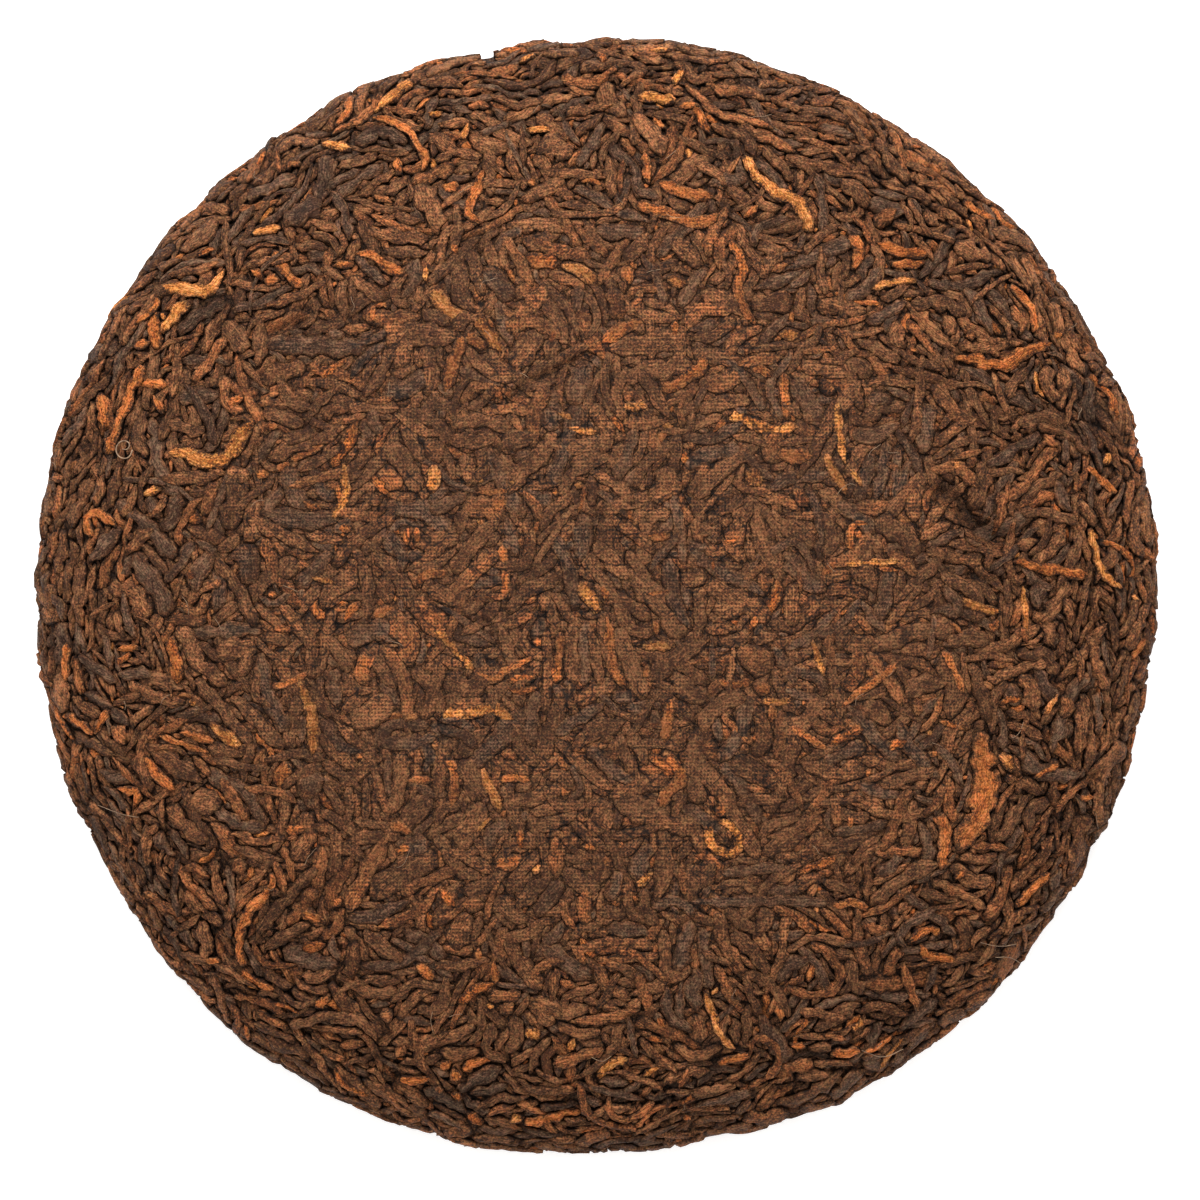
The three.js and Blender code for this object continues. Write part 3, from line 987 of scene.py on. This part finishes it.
def add_piece(name, points, quads, details, material, triangles=None):
    """A mesh piece in metres that rides with the cake and stands for its solid.

    details are what the material reads at each point: where it is on its leaf, the leaf's tone with the
    depth and the pressing, which set its painted shade and light, and how far from the leaf's outline it
    lies.
    """
    mesh = bpy.data.meshes.new(name)
    mesh.vertices.add(len(points))
    mesh.vertices.foreach_set("co", (points * MM).astype(np.float32).ravel())
    corners = quads.ravel()
    starts = np.arange(len(quads)) * 4
    if triangles is not None:
        starts = np.concatenate((starts, len(corners) + np.arange(len(triangles)) * 3))
        corners = np.concatenate((corners, triangles.ravel()))
    mesh.loops.add(len(corners))
    mesh.loops.foreach_set("vertex_index", corners.astype(np.int32))
    mesh.polygons.add(len(starts))
    mesh.polygons.foreach_set("loop_start", starts.astype(np.int32))
    for label, values in details.items():
        if values.ndim == 2:
            layer = mesh.attributes.new(label, "FLOAT_VECTOR", "POINT")
            layer.data.foreach_set("vector", values.astype(np.float32).ravel())
        else:
            layer = mesh.attributes.new(label, "FLOAT", "POINT")
            layer.data.foreach_set("value", values.astype(np.float32))
    mesh.update(calc_edges=True)
    mesh.shade_smooth()
    mesh.materials.append(material)
    piece = bpy.data.objects.new(name, mesh)
    bpy.context.scene.collection.objects.link(piece)
    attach(piece, "root")
    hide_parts("tea_cake")


def add_leaf_pieces(chart, prefix, colours):
    """One piece for each kind of leaf on this side of the cake."""
    skin = chart.skin
    for kind in KINDS:
        leaves = [leaf for leaf in chart.leaves if leaf["kind"] == kind]
        if not leaves:
            continue
        flat = np.concatenate([leaf["points"] for leaf in leaves])
        depth = np.concatenate([leaf["depth"] for leaf in leaves])
        s, angle = chart.distance(*flat.T), np.arctan2(flat[:, 1], flat[:, 0])
        points = skin.place(s, angle, depth)
        first, quads = 0, []
        for leaf in leaves:
            faces = leaf_quads(leaf["rings"])
            quads.append(first + (faces if chart.side == "face" else faces[:, ::-1]))
            first += leaf["rings"] * RING
        quads = np.concatenate(quads)
        tone = np.concatenate([np.full(len(leaf["depth"]), leaf["tone"]) for leaf in leaves])
        # Painted shade: the dents add to the depth by which the material darkens the leaves.
        below = depth + 0.6 * skin.dent_depth(points)
        details = {
            "fibre": np.concatenate([leaf["fibre"] for leaf in leaves]),
            "leaf_state": np.stack((tone, below, skin.pressed(s)), -1),
            "leaf_middle": np.concatenate([leaf["middle"] for leaf in leaves]),
        }
        material = leaf_material(kind, getattr(colours, kind), colours.dark)
        add_piece(f"{prefix}_{kind}", points, quads, details, material)


# Settings that many nodes share: a product, a x + b, the same held between 0 and 1, the larger value, a
# scaled vector, and mixes of colours. A mix takes its share at input 0 and its colours at 6 and 7, and gives
# the mixed colour as output 2.
TIMES = {"operation": "MULTIPLY"}
LINE = {"operation": "MULTIPLY_ADD"}
HELD_LINE = {"operation": "MULTIPLY_ADD", "use_clamp": True}
LARGER = {"operation": "MAXIMUM"}
SCALED = {"operation": "SCALE"}
MIXED = {"data_type": "RGBA"}
MULTIPLIED = {"data_type": "RGBA", "blend_type": "MULTIPLY"}


def set_inputs(tree, node, inputs):
    """Gives inputs of a node their values, or links them to outputs of other nodes."""
    for name, value in inputs.items():
        if isinstance(value, bpy.types.NodeSocket):
            tree.links.new(value, node.inputs[name])
        else:
            node.inputs[name].default_value = value


def add_node(tree, kind, settings=None, inputs=(), output=0):
    """Adds a shader node with its settings and inputs, in order or by name, and gives back one output."""
    node = tree.nodes.new("ShaderNode" + kind)
    for name, value in (settings or {}).items():
        setattr(node, name, value)
    set_inputs(tree, node, inputs if isinstance(inputs, dict) else dict(enumerate(inputs)))
    return node.outputs[output]


def tint(colour, factor, warmth=1.0):
    """A darker or lighter tone of a colour."""
    red, green, blue = colour[:3]
    return (min(1, red * factor * warmth), min(1, green * factor), min(1, blue * factor / warmth), 1.0)


def dusty(colour, share):
    """A colour with a share of grey of the same lightness in it."""
    grey = 0.2126 * colour[0] + 0.7152 * colour[1] + 0.0722 * colour[2]
    return (*(channel + share * (grey - channel) for channel in colour[:3]), 1.0)


def thin_line(tree, field, width):
    """0 on the lines where a noise passes its middle value, and 1 away from them."""
    away = add_node(tree, "Math", {"operation": "SUBTRACT"}, (field, 0.5))
    away = add_node(tree, "Math", {"operation": "ABSOLUTE"}, (away,))
    return add_node(tree, "Math", {"operation": "DIVIDE", "use_clamp": True}, (away, width))


# Darkest and lightest tone of a leaf, as shares of its middle tone, and how much dust greys the lightest.
DARK_LEAF = (0.28, 2.05, 0.05)
PALE_LEAF = {"russet": (0.28, 1.85, 0.05), "amber": (0.32, 1.4, 0.10), "gold": (0.42, 1.38, 0.15)}
# The darkest tone, that of the creases and hollows, is warmer by this much: partly a painted shade.
CREASE_WARMTH = 1.22
RAMP_ENDS = (0.12, 0.88)

# A leaf's own wrinkles are so many mm wide and long, and the bits of a crumbled one so many mm wide.
WRINKLE_SIZE = (0.42, 2.8)
BIT_SIZE = 1.3

# Tints of blotches where the leaf has rusted, and of flecks from green to copper.
RUST = (1.13, 0.99, 0.86, 1)
GREEN_FLECK, COPPER_FLECK = (0.92, 1.03, 0.90, 1), (1.10, 0.97, 0.90, 1)


def tone_ramp(tree, value, colour, tones):
    """The tones of one kind of leaf, from its creases to its ridges, partly painted shade and light where the
    value follows the wrinkles.
    """
    darkest, lightest, dust = tones
    toned = add_node(tree, "ValToRGB", inputs=(value,), output="Color")
    stops = toned.node.color_ramp.elements
    stops[0].position, stops[1].position = RAMP_ENDS
    stops[0].color = tint(colour, darkest, CREASE_WARMTH)
    stops[1].color = dusty(tint(colour, lightest), dust)
    stops.new(0.5).color = tint(colour, 1.0)
    return toned


def leaf_material(kind, colour, ground, crumbs=False):
    """Fermented tea leaf, rolled, pressed in cotton and dried: dull, with fine lengthwise wrinkles and a
    speckle of down and dust, and where the press bit hardest the print of the cloth's threads. Pale
    leaves have ragged outlines, because crumbs of the dark mass stick over their edges. With crumbs, the
    leaf is broken into bits about a millimetre wide. Light and shade are partly painted into the colour:
    darker with depth and in creases, cracks, outlines, pits and between bits, lighter on the cloth's
    threads and on the loose leaves of the edge."""
    name = f"dried_tea_{'crumb' if crumbs else 'leaf'}_{kind}"
    material = bpy.data.materials.get(name)
    if material:
        return material
    material = bpy.data.materials.new(name)
    material.use_nodes = True
    tree = material.node_tree
    place = add_node(tree, "TexCoord", output="Object")
    in_mm = add_node(tree, "VectorMath", SCALED, {0: place, "Scale": 1 / MM})
    fibre = add_node(tree, "Attribute", {"attribute_name": "fibre"}, output="Vector")
    state = add_node(tree, "Attribute", {"attribute_name": "leaf_state"}, output="Vector")
    middle = add_node(tree, "Attribute", {"attribute_name": "leaf_middle"}, output="Fac")
    tone, depth, pressed = add_node(tree, "SeparateXYZ", inputs=(state,)).node.outputs
    strands = add_node(tree, "VectorMath", TIMES, (fibre, (1 / WRINKLE_SIZE[0], 1 / WRINKLE_SIZE[1], 1)))

    # Noises: what each is measured in, how far its spots lie apart there, its detail and its roughness.
    wrinkle, mottle, cracks, stain, speckle, flecks = (
        add_node(
            tree, "TexNoise", None,
            {"Vector": vector, "Scale": 1 / apart, "Detail": detail, "Roughness": roughness}, "Fac",
        )
        for vector, apart, detail, roughness in (
            (strands, 1, 2.0, 0.55), (in_mm, 1.7, 2.0, 0.62), (in_mm, 2.8, 1.0, 0.55),
            (in_mm, 6.5, 1.0, 0.5), (in_mm, 0.36, 1.0, 0.7), (in_mm, 0.8, 2.0, 0.6),
        )
    )
    # Crease lines along the wrinkles: a groove in the bump, and a painted shade in the colour.
    crease = thin_line(tree, wrinkle, 0.045)
    # Some parts of the pressed mass are felted shut, with no outline of a leaf to be seen.
    felted = add_node(tree, "Math", TIMES, (add_node(tree, "Math", HELD_LINE, (stain, -6.0, 3.6)), pressed))
    # Cracks of the pressed mass are dark lines of painted shade, with no gap in the mesh under them. They
    # open up to half a millimetre in some places and close in others.
    crack_width = add_node(tree, "Math", HELD_LINE, (stain, 5.0, -2.4))
    crack = thin_line(tree, cracks, add_node(tree, "Math", LINE, (crack_width, 0.08, 0.001)))
    crack = add_node(tree, "Math", LARGER, (crack, add_node(tree, "Math", LINE, (pressed, -1.0, 1.0))))

    # The noises move the tone up and down round the leaf's own. The wrinkle noise also raises the bump, so
    # its share is a painted light on the ridges and a painted shade in the hollows; the others are the leaf's
    # own blotches and speckle.
    weights = ((wrinkle, 0.9), (mottle, 1.3), (speckle, 1.9), (stain, 0.7))
    value = add_node(tree, "Math", LINE, (tone, 0.15, 0.5 - sum(weight for _, weight in weights) / 2))
    for field, weight in weights:
        value = add_node(tree, "Math", LINE, (field, weight, value))
    leaf_here = tone_ramp(tree, value, colour, PALE_LEAF.get(kind, DARK_LEAF))
    ground_here = tone_ramp(tree, value, ground, DARK_LEAF)

    # The ground shows through round the edges of a leaf and in blotches, and more where it is felted.
    cover = add_node(tree, "Math", LINE, (middle, 1.9, -2.6))
    cover = add_node(tree, "Math", LINE, (mottle, 3.0, cover))
    cover = add_node(tree, "Math", HELD_LINE, (speckle, 2.0, cover))
    cover = add_node(tree, "Math", TIMES, (cover, add_node(tree, "Math", LINE, (felted, -0.6, 1.0))))
    rusted = add_node(tree, "Math", HELD_LINE, (stain, 3.2, -1.65))
    fleck = add_node(tree, "Math", HELD_LINE, (flecks, 4.0, -1.5))
    fleck = add_node(tree, "Mix", MIXED, {0: fleck, 6: GREEN_FLECK, 7: COPPER_FLECK}, 2)
    mixed = add_node(tree, "Mix", MIXED, {0: cover, 6: ground_here, 7: leaf_here}, 2)
    mixed = add_node(tree, "Mix", MULTIPLIED, {0: rusted, 6: mixed, 7: RUST}, 2)
    mixed = add_node(tree, "Mix", MULTIPLIED, {0: 1.0, 6: mixed, 7: fleck}, 2)

    # The imprint of the cloth, drawn in colour alone with no relief: a painted light on its threads and a
    # painted shade between them, fainter one way, that drift a little as the cloth lay, on leaves that the
    # press reached and that lie at the surface.
    thread = bpy.context.scene.tea_cake_sizes.thread / MM
    x, y, _ = add_node(tree, "SeparateXYZ", inputs=(in_mm,)).node.outputs
    drift = add_node(tree, "Math", LINE, (stain, 5.0, add_node(tree, "Math", TIMES, (flecks, 2.5))))
    rows, columns = (
        add_node(tree, "Math", {"operation": "SINE"}, (add_node(tree, "Math", LINE, (way, turns, drift)),))
        for way, turns in ((y, 2 * math.pi / thread), (x, 2 * math.pi / (0.9 * thread)))
    )
    weave = add_node(tree, "Math", LARGER, (add_node(tree, "Math", LINE, (columns, 0.8, -0.25)), rows))
    weave = add_node(tree, "Math", LINE, (weave, 1.0, -0.2))
    for line in ((pressed, 1.2, 0.1), (depth, -2.2, 1.0), (stain, 3.0, -0.7)):
        weave = add_node(tree, "Math", TIMES, (weave, add_node(tree, "Math", HELD_LINE, line)))

    # The outline of a leaf is a dark crease, a painted shade where the leaf meets its neighbours, which the
    # press has closed here and there.
    closed = add_node(tree, "Math", HELD_LINE, (mottle, 3.0, -1.2))
    outline = add_node(tree, "Math", HELD_LINE, (middle, 6.0, closed))
    # Pits: dots of painted shade where the fleck noise is high.
    pit = add_node(tree, "Math", HELD_LINE, (flecks, -11.0, 7.9))

    # Shades, each a slope and a start, all painted light and shade in the colour: deeper is darker, a painted
    # shade in recesses and dents; threads are lighter and the gaps between them darker, painted light and
    # shade of the cloth's imprint; the pressed middle is darker than the loose edge, a painted light where
    # the edge's leaves catch side light; and wrinkles, cracks, outlines and pits are dark, painted shade in
    # them. Wrinkles and outlines fade where it is felted.
    shades = [
        (weave, 0.62, 1.0),
        # Painted light: the loose leaves of the edge are lighter, as their tops catch side light, and the
        # pressed middle darker.
        (pressed, -0.37, 1.20),
        (crease, *(add_node(tree, "Math", LINE, (felted, slope, 0.5)) for slope in (-0.45, 0.45))),
        (crack, 0.86, 0.14),
        (outline, *(add_node(tree, "Math", LINE, (felted, *line)) for line in ((-0.78, 0.84), (0.78, 0.16)))),
        (pit, 0.6, 0.4),
    ]
    # Heights in mm: lengthwise wrinkles, shallower where the leaf was pressed flat, and grit.
    loose = add_node(tree, "Math", LINE, (pressed, -0.34, 0.5))
    heights = [(crease, add_node(tree, "Math", TIMES, (loose, 0.35))), (flecks, 0.3)]
    if crumbs:
        # The bits of a crumbled leaf: a bump, with dark lines of painted shade between them.
        bits = add_node(
            tree, "TexVoronoi", {"feature": "DISTANCE_TO_EDGE"},
            {"Vector": in_mm, "Scale": 1 / BIT_SIZE}, "Distance",
        )
        bit = add_node(tree, "Math", HELD_LINE, (bits, 5.0, 0.0))
        shades.append((bit, 0.75, 0.25))
        heights.append((bit, 0.3))
    # Painted shade: the deeper a point lies below the surface, or in a dent, the darker its colour, down to
    # 0.08.
    shade = add_node(tree, "Math", LARGER, (add_node(tree, "Math", HELD_LINE, (depth, -0.52, 1.18)), 0.08))
    for line in shades:
        shade = add_node(tree, "Math", TIMES, (shade, add_node(tree, "Math", LINE, line)))
    height = add_node(tree, "Math", TIMES, (wrinkle, loose))
    for field, weight in heights:
        height = add_node(tree, "Math", LINE, (field, weight, height))
    set_inputs(tree, tree.nodes["Principled BSDF"], {
        "Base Color": add_node(tree, "VectorMath", SCALED, {0: mixed, "Scale": shade}),
        "Normal": add_node(tree, "Bump", None, {"Strength": 1.0, "Distance": MM, "Height": height}),
        "Roughness": 0.72,
        "IOR": 1.45,
        "Specular IOR Level": 0.22,
    })
    return material


def down_material():
    """Plant down and cotton lint: thin pale hairs with a soft sheen, a little darker where dust clings."""
    material = bpy.data.materials.new("plant_down")
    material.use_nodes = True
    tree = material.node_tree
    place = add_node(tree, "TexCoord", output="Object")
    dust = add_node(tree, "TexNoise", None, {"Vector": place, "Scale": 1 / (1.5 * MM), "Detail": 2.0}, "Fac")
    dust = add_node(tree, "Math", HELD_LINE, (dust, 4.0, -1.5))
    pale, brown = (*linear("#96795c"), 1), (*linear("#6a503c"), 1)
    set_inputs(tree, tree.nodes["Principled BSDF"], {
        "Base Color": add_node(tree, "Mix", MIXED, {0: dust, 6: pale, 7: brown}, 2),
        "Roughness": 0.6,
    })
    return material


# The chart of each side, kept for the operator that comes after.
CHARTS = {}


def skin_of(context):
    return Skin(context.scene.tea_cake_sizes)


class TEACAKE_OT_core(bpy.types.Operator):
    """Builds the dark mass of broken leaf that lies under and between the leaves"""

    bl_idname = "teacake.core"
    bl_label = "Core of broken leaf"

    ROWS = 170
    COLUMNS = 210
    # Depth below the surface in mm where pressed, what is added where loose, the same for how rough it is,
    # the depth in the middle of the face and of the dimple, and its tone among the leaves.
    DEPTH = (0.20, 1.5)
    ROUGH = (0.02, 0.22)
    MIDDLES = (0.2, 0.6)
    TONE = -0.3

    def execute(self, context):
        skin = skin_of(context)
        s = np.linspace(0, skin.total, self.ROWS)[1:-1]
        angle = np.arange(self.COLUMNS) / self.COLUMNS * 2 * math.pi
        s_grid, angle_grid = (grid.ravel() for grid in np.meshgrid(s, angle, indexing="ij"))
        rng = np.random.default_rng(context.scene.tea_cake_sizes.seed + 5)
        loose = 1 - skin.pressed(s_grid)
        rough = rng.normal(0, 1, len(s_grid)) * (self.ROUGH[0] + self.ROUGH[1] * loose)
        depth = self.DEPTH[0] + self.DEPTH[1] * loose + rough
        s_all = np.concatenate(([0], s_grid, [skin.total]))
        angle_all = np.concatenate(([0], angle_grid, [0]))
        depth = np.concatenate((self.MIDDLES[:1], depth, self.MIDDLES[1:]))
        points = skin.place(s_all, angle_all, depth)
        row, column = np.meshgrid(np.arange(len(s) - 1), np.arange(self.COLUMNS), indexing="ij")
        here = 1 + row * self.COLUMNS + column
        beside = 1 + row * self.COLUMNS + (column + 1) % self.COLUMNS
        quads = np.stack((here, here + self.COLUMNS, beside + self.COLUMNS, beside), -1).reshape(-1, 4)
        ring = np.arange(self.COLUMNS)
        following = (ring + 1) % self.COLUMNS
        last = 1 + (len(s) - 1) * self.COLUMNS
        top = np.stack((ring * 0, 1 + ring, 1 + following), -1)
        bottom = np.stack((last + ring, ring * 0 + len(points) - 1, last + following), -1)
        details = {
            "fibre": points,
            "leaf_state": np.stack((s_all * 0 + self.TONE, depth, skin.pressed(s_all)), -1),
            "leaf_middle": s_all * 0 + 1,
        }
        colours = context.scene.tea_cake_colours
        material = leaf_material("dark", colours.dark, colours.dark, crumbs=True)
        add_piece("core", points, quads, details, material, np.concatenate((top, bottom)))
        return {"FINISHED"}


class TEACAKE_OT_face_leaves(bpy.types.Operator):
    """Lays the leaves of the face and of the edge, the ones that stand out first"""

    bl_idname = "teacake.face_leaves"
    bl_label = "Leaves of the face"

    # How far in mm they reach round the edge, past its widest line.
    PAST_EDGE = 14.0

    def execute(self, context):
        skin = skin_of(context)
        chart = Chart(skin, "face", skin.s[skin.widest] + self.PAST_EDGE)
        rng = np.random.default_rng(context.scene.tea_cake_sizes.seed)
        for block in TRACED_LEAVES:
            for kind, width, route in traced(skin, block):
                lay_leaf(chart, route, width, kind, rng)
        fill_with_leaves(chart, rng)
        add_leaf_pieces(chart, "face", context.scene.tea_cake_colours)
        CHARTS["face"] = chart
        return {"FINISHED"}


class TEACAKE_OT_back_leaves(bpy.types.Operator):
    """Lays the leaves of the underside and of the lower edge"""

    bl_idname = "teacake.back_leaves"
    bl_label = "Leaves of the underside"

    # How far in mm they reach up over the lower leaves of the edge.
    OVERLAP = 4

    def execute(self, context):
        face = CHARTS.get("face")
        if face is None:
            raise RuntimeError("the leaves of the face have to be laid first")
        skin = face.skin
        chart = Chart(skin, "back", skin.total - face.reach + self.OVERLAP)
        chart.take_over(face)
        rng = np.random.default_rng(context.scene.tea_cake_sizes.seed + 1)
        fill_with_leaves(chart, rng)
        add_leaf_pieces(chart, "back", context.scene.tea_cake_colours)
        return {"FINISHED"}


class TEACAKE_OT_hairs(bpy.types.Operator):
    """Lays the hairs and threads that cling to the face"""

    bl_idname = "teacake.hairs"
    bl_label = "Hairs on the face"

    SIDES = 4
    # Distance between the rings of a hair and how deep it lies, in mm.
    RING_APART = 0.5
    DEPTH = (-0.05, 0.02)
    # The scattered hairs: how many, their width and the steps that they are made of in mm, how many steps,
    # how much each turns in radians, and the least share of the face's area that lies inside them.
    SCATTERED = 45
    WIDTH = 0.09
    STEP_LENGTHS = (0.3, 0.9)
    STEPS = 6
    CURL = 0.35
    INNERMOST = 0.1

    def execute(self, context):
        skin = skin_of(context)
        rng = np.random.default_rng(context.scene.tea_cake_sizes.seed + 9)
        routes = [(width, route) for _, width, route in traced(skin, TRACED_HAIRS)]
        for _ in range(self.SCATTERED):
            s = skin.s[skin.widest] * math.sqrt(rng.uniform(self.INNERMOST, 1))
            around = rng.uniform(0, 2 * math.pi)
            turns = rng.uniform(0, 2 * math.pi) + np.cumsum(rng.normal(0, self.CURL, self.STEPS))
            steps = np.stack((np.cos(turns), np.sin(turns)), -1) * rng.uniform(*self.STEP_LENGTHS)
            start = np.array((s * math.cos(around), s * math.sin(around)))
            routes.append((self.WIDTH, start + np.cumsum(steps, 0)))
        all_points, all_quads, first = [], [], 0
        for width, route in routes:
            route = smooth_route(route, self.RING_APART)
            s, around = np.hypot(*route.T), np.arctan2(route[:, 1], route[:, 0])
            middle = skin.place(s, around, rng.uniform(*self.DEPTH, len(s)))
            ahead = np.gradient(middle, axis=0)
            ahead /= np.linalg.norm(ahead, axis=1)[:, None]
            aside = np.cross(ahead, (0, 0, 1))
            above = np.cross(aside, ahead)
            turn = np.arange(self.SIDES) / self.SIDES * 2 * math.pi
            ring = aside[:, None] * np.cos(turn)[:, None] + above[:, None] * np.sin(turn)[:, None]
            all_points.append((middle[:, None] + ring * width / 2).reshape(-1, 3))
            step, side = np.meshgrid(np.arange(len(route) - 1), np.arange(self.SIDES), indexing="ij")
            here, beside = step * self.SIDES + side, step * self.SIDES + (side + 1) % self.SIDES
            quads = np.stack((here, here + self.SIDES, beside + self.SIDES, beside), -1).reshape(-1, 4)
            last = (len(route) - 1) * self.SIDES
            ends = np.array([[0, 1, 2, 3], [last + 3, last + 2, last + 1, last]])
            all_quads.append(first + np.concatenate((quads, ends)))
            first += len(route) * self.SIDES
        points = np.concatenate(all_points)
        add_piece("hairs", points, np.concatenate(all_quads), {}, down_material())
        return {"FINISHED"}


class TEACAKE_OT_stage(bpy.types.Operator):
    """Sets out a pale floor, soft studio light and the camera, straight above the cake"""

    bl_idname = "teacake.stage"
    bl_label = "Floor, light and camera"

    # Places and sizes in metres, and the lamp's power in watts.
    FLOOR_HALF = 3.0
    FLOOR_HEIGHT = -0.0001
    LAMP_PLACE = (-0.04, 0.40, 0.40)
    LAMP_SIZE = (0.5, 0.3)
    LAMP_POWER = 4.0
    WORLD_LIGHT = 0.95
    FLOOR_GLOW = 0.42

    def execute(self, context):
        scene = context.scene
        floor_mesh = bpy.data.meshes.new("floor")
        corners = [(-1, -1), (1, -1), (1, 1), (-1, 1)]
        corners = [(self.FLOOR_HALF * x, self.FLOOR_HALF * y, self.FLOOR_HEIGHT) for x, y in corners]
        floor_mesh.from_pydata(corners, [], [(0, 1, 2, 3)])
        paper = bpy.data.materials.new("matt_white_paper")
        paper.use_nodes = True
        # The paper glows a little, so that it photographs as clean white round the cake's own shadow.
        set_inputs(paper.node_tree, paper.node_tree.nodes["Principled BSDF"], {
            "Base Color": (*linear("#f7f6f4"), 1),
            "Roughness": 0.9,
            "Emission Color": (1, 1, 1, 1),
            "Emission Strength": self.FLOOR_GLOW,
        })
        floor_mesh.materials.append(paper)
        floor = bpy.data.objects.new("floor", floor_mesh)
        scene.collection.objects.link(floor)

        world = bpy.data.worlds.new("studio")
        world.use_nodes = True
        light = {"Color": (1, 1, 1, 1), "Strength": self.WORLD_LIGHT}
        set_inputs(world.node_tree, world.node_tree.nodes["Background"], light)
        scene.world = world
        lamp = bpy.data.lights.new("window", "AREA")
        lamp.shape = "RECTANGLE"
        lamp.size, lamp.size_y = self.LAMP_SIZE
        lamp.energy = self.LAMP_POWER
        window = bpy.data.objects.new("window", lamp)
        window.location = self.LAMP_PLACE
        window.rotation_euler = (-window.location).to_track_quat("-Z", "Y").to_euler()
        scene.collection.objects.link(window)

        camera_data = bpy.data.cameras.new("camera")
        camera_data.lens, camera_data.sensor_width = LENS / MM, SENSOR / MM
        camera = bpy.data.objects.new("camera", camera_data)
        camera.location = CAMERA_PLACE
        scene.collection.objects.link(camera)
        scene.camera = camera
        scene.view_settings.view_transform = "Standard"
        scene.view_settings.look = "None"
        return {"FINISHED"}


class TEACAKE_PT_panel(bpy.types.Panel):
    """Lists the steps that build the cake"""

    bl_idname = "TEACAKE_PT_panel"
    bl_label = "Tea Cake"
    bl_space_type = "VIEW_3D"
    bl_region_type = "UI"
    bl_category = "Tea Cake"

    def draw(self, context):
        for group in (context.scene.tea_cake_sizes, context.scene.tea_cake_colours):
            for name in group.__annotations__:
                self.layout.prop(group, name)
        for step in STEPS:
            self.layout.operator(step.bl_idname)


STEPS = (
    TEACAKE_OT_core, TEACAKE_OT_face_leaves, TEACAKE_OT_back_leaves, TEACAKE_OT_hairs, TEACAKE_OT_stage,
)
CLASSES = (TeaCakeSizes, TeaCakeColours, *STEPS, TEACAKE_PT_panel)


def register():
    for cls in CLASSES:
        bpy.utils.register_class(cls)
    bpy.types.Scene.tea_cake_sizes = PointerProperty(type=TeaCakeSizes)
    bpy.types.Scene.tea_cake_colours = PointerProperty(type=TeaCakeColours)


def unregister():
    del bpy.types.Scene.tea_cake_sizes
    del bpy.types.Scene.tea_cake_colours
    for cls in reversed(CLASSES):
        bpy.utils.unregister_class(cls)


def main():
    register()
    bpy.ops.teacake.core()
    bpy.ops.teacake.face_leaves()
    bpy.ops.teacake.back_leaves()
    bpy.ops.teacake.hairs()
    bpy.ops.teacake.stage()


if __name__ == "__main__":
    main()
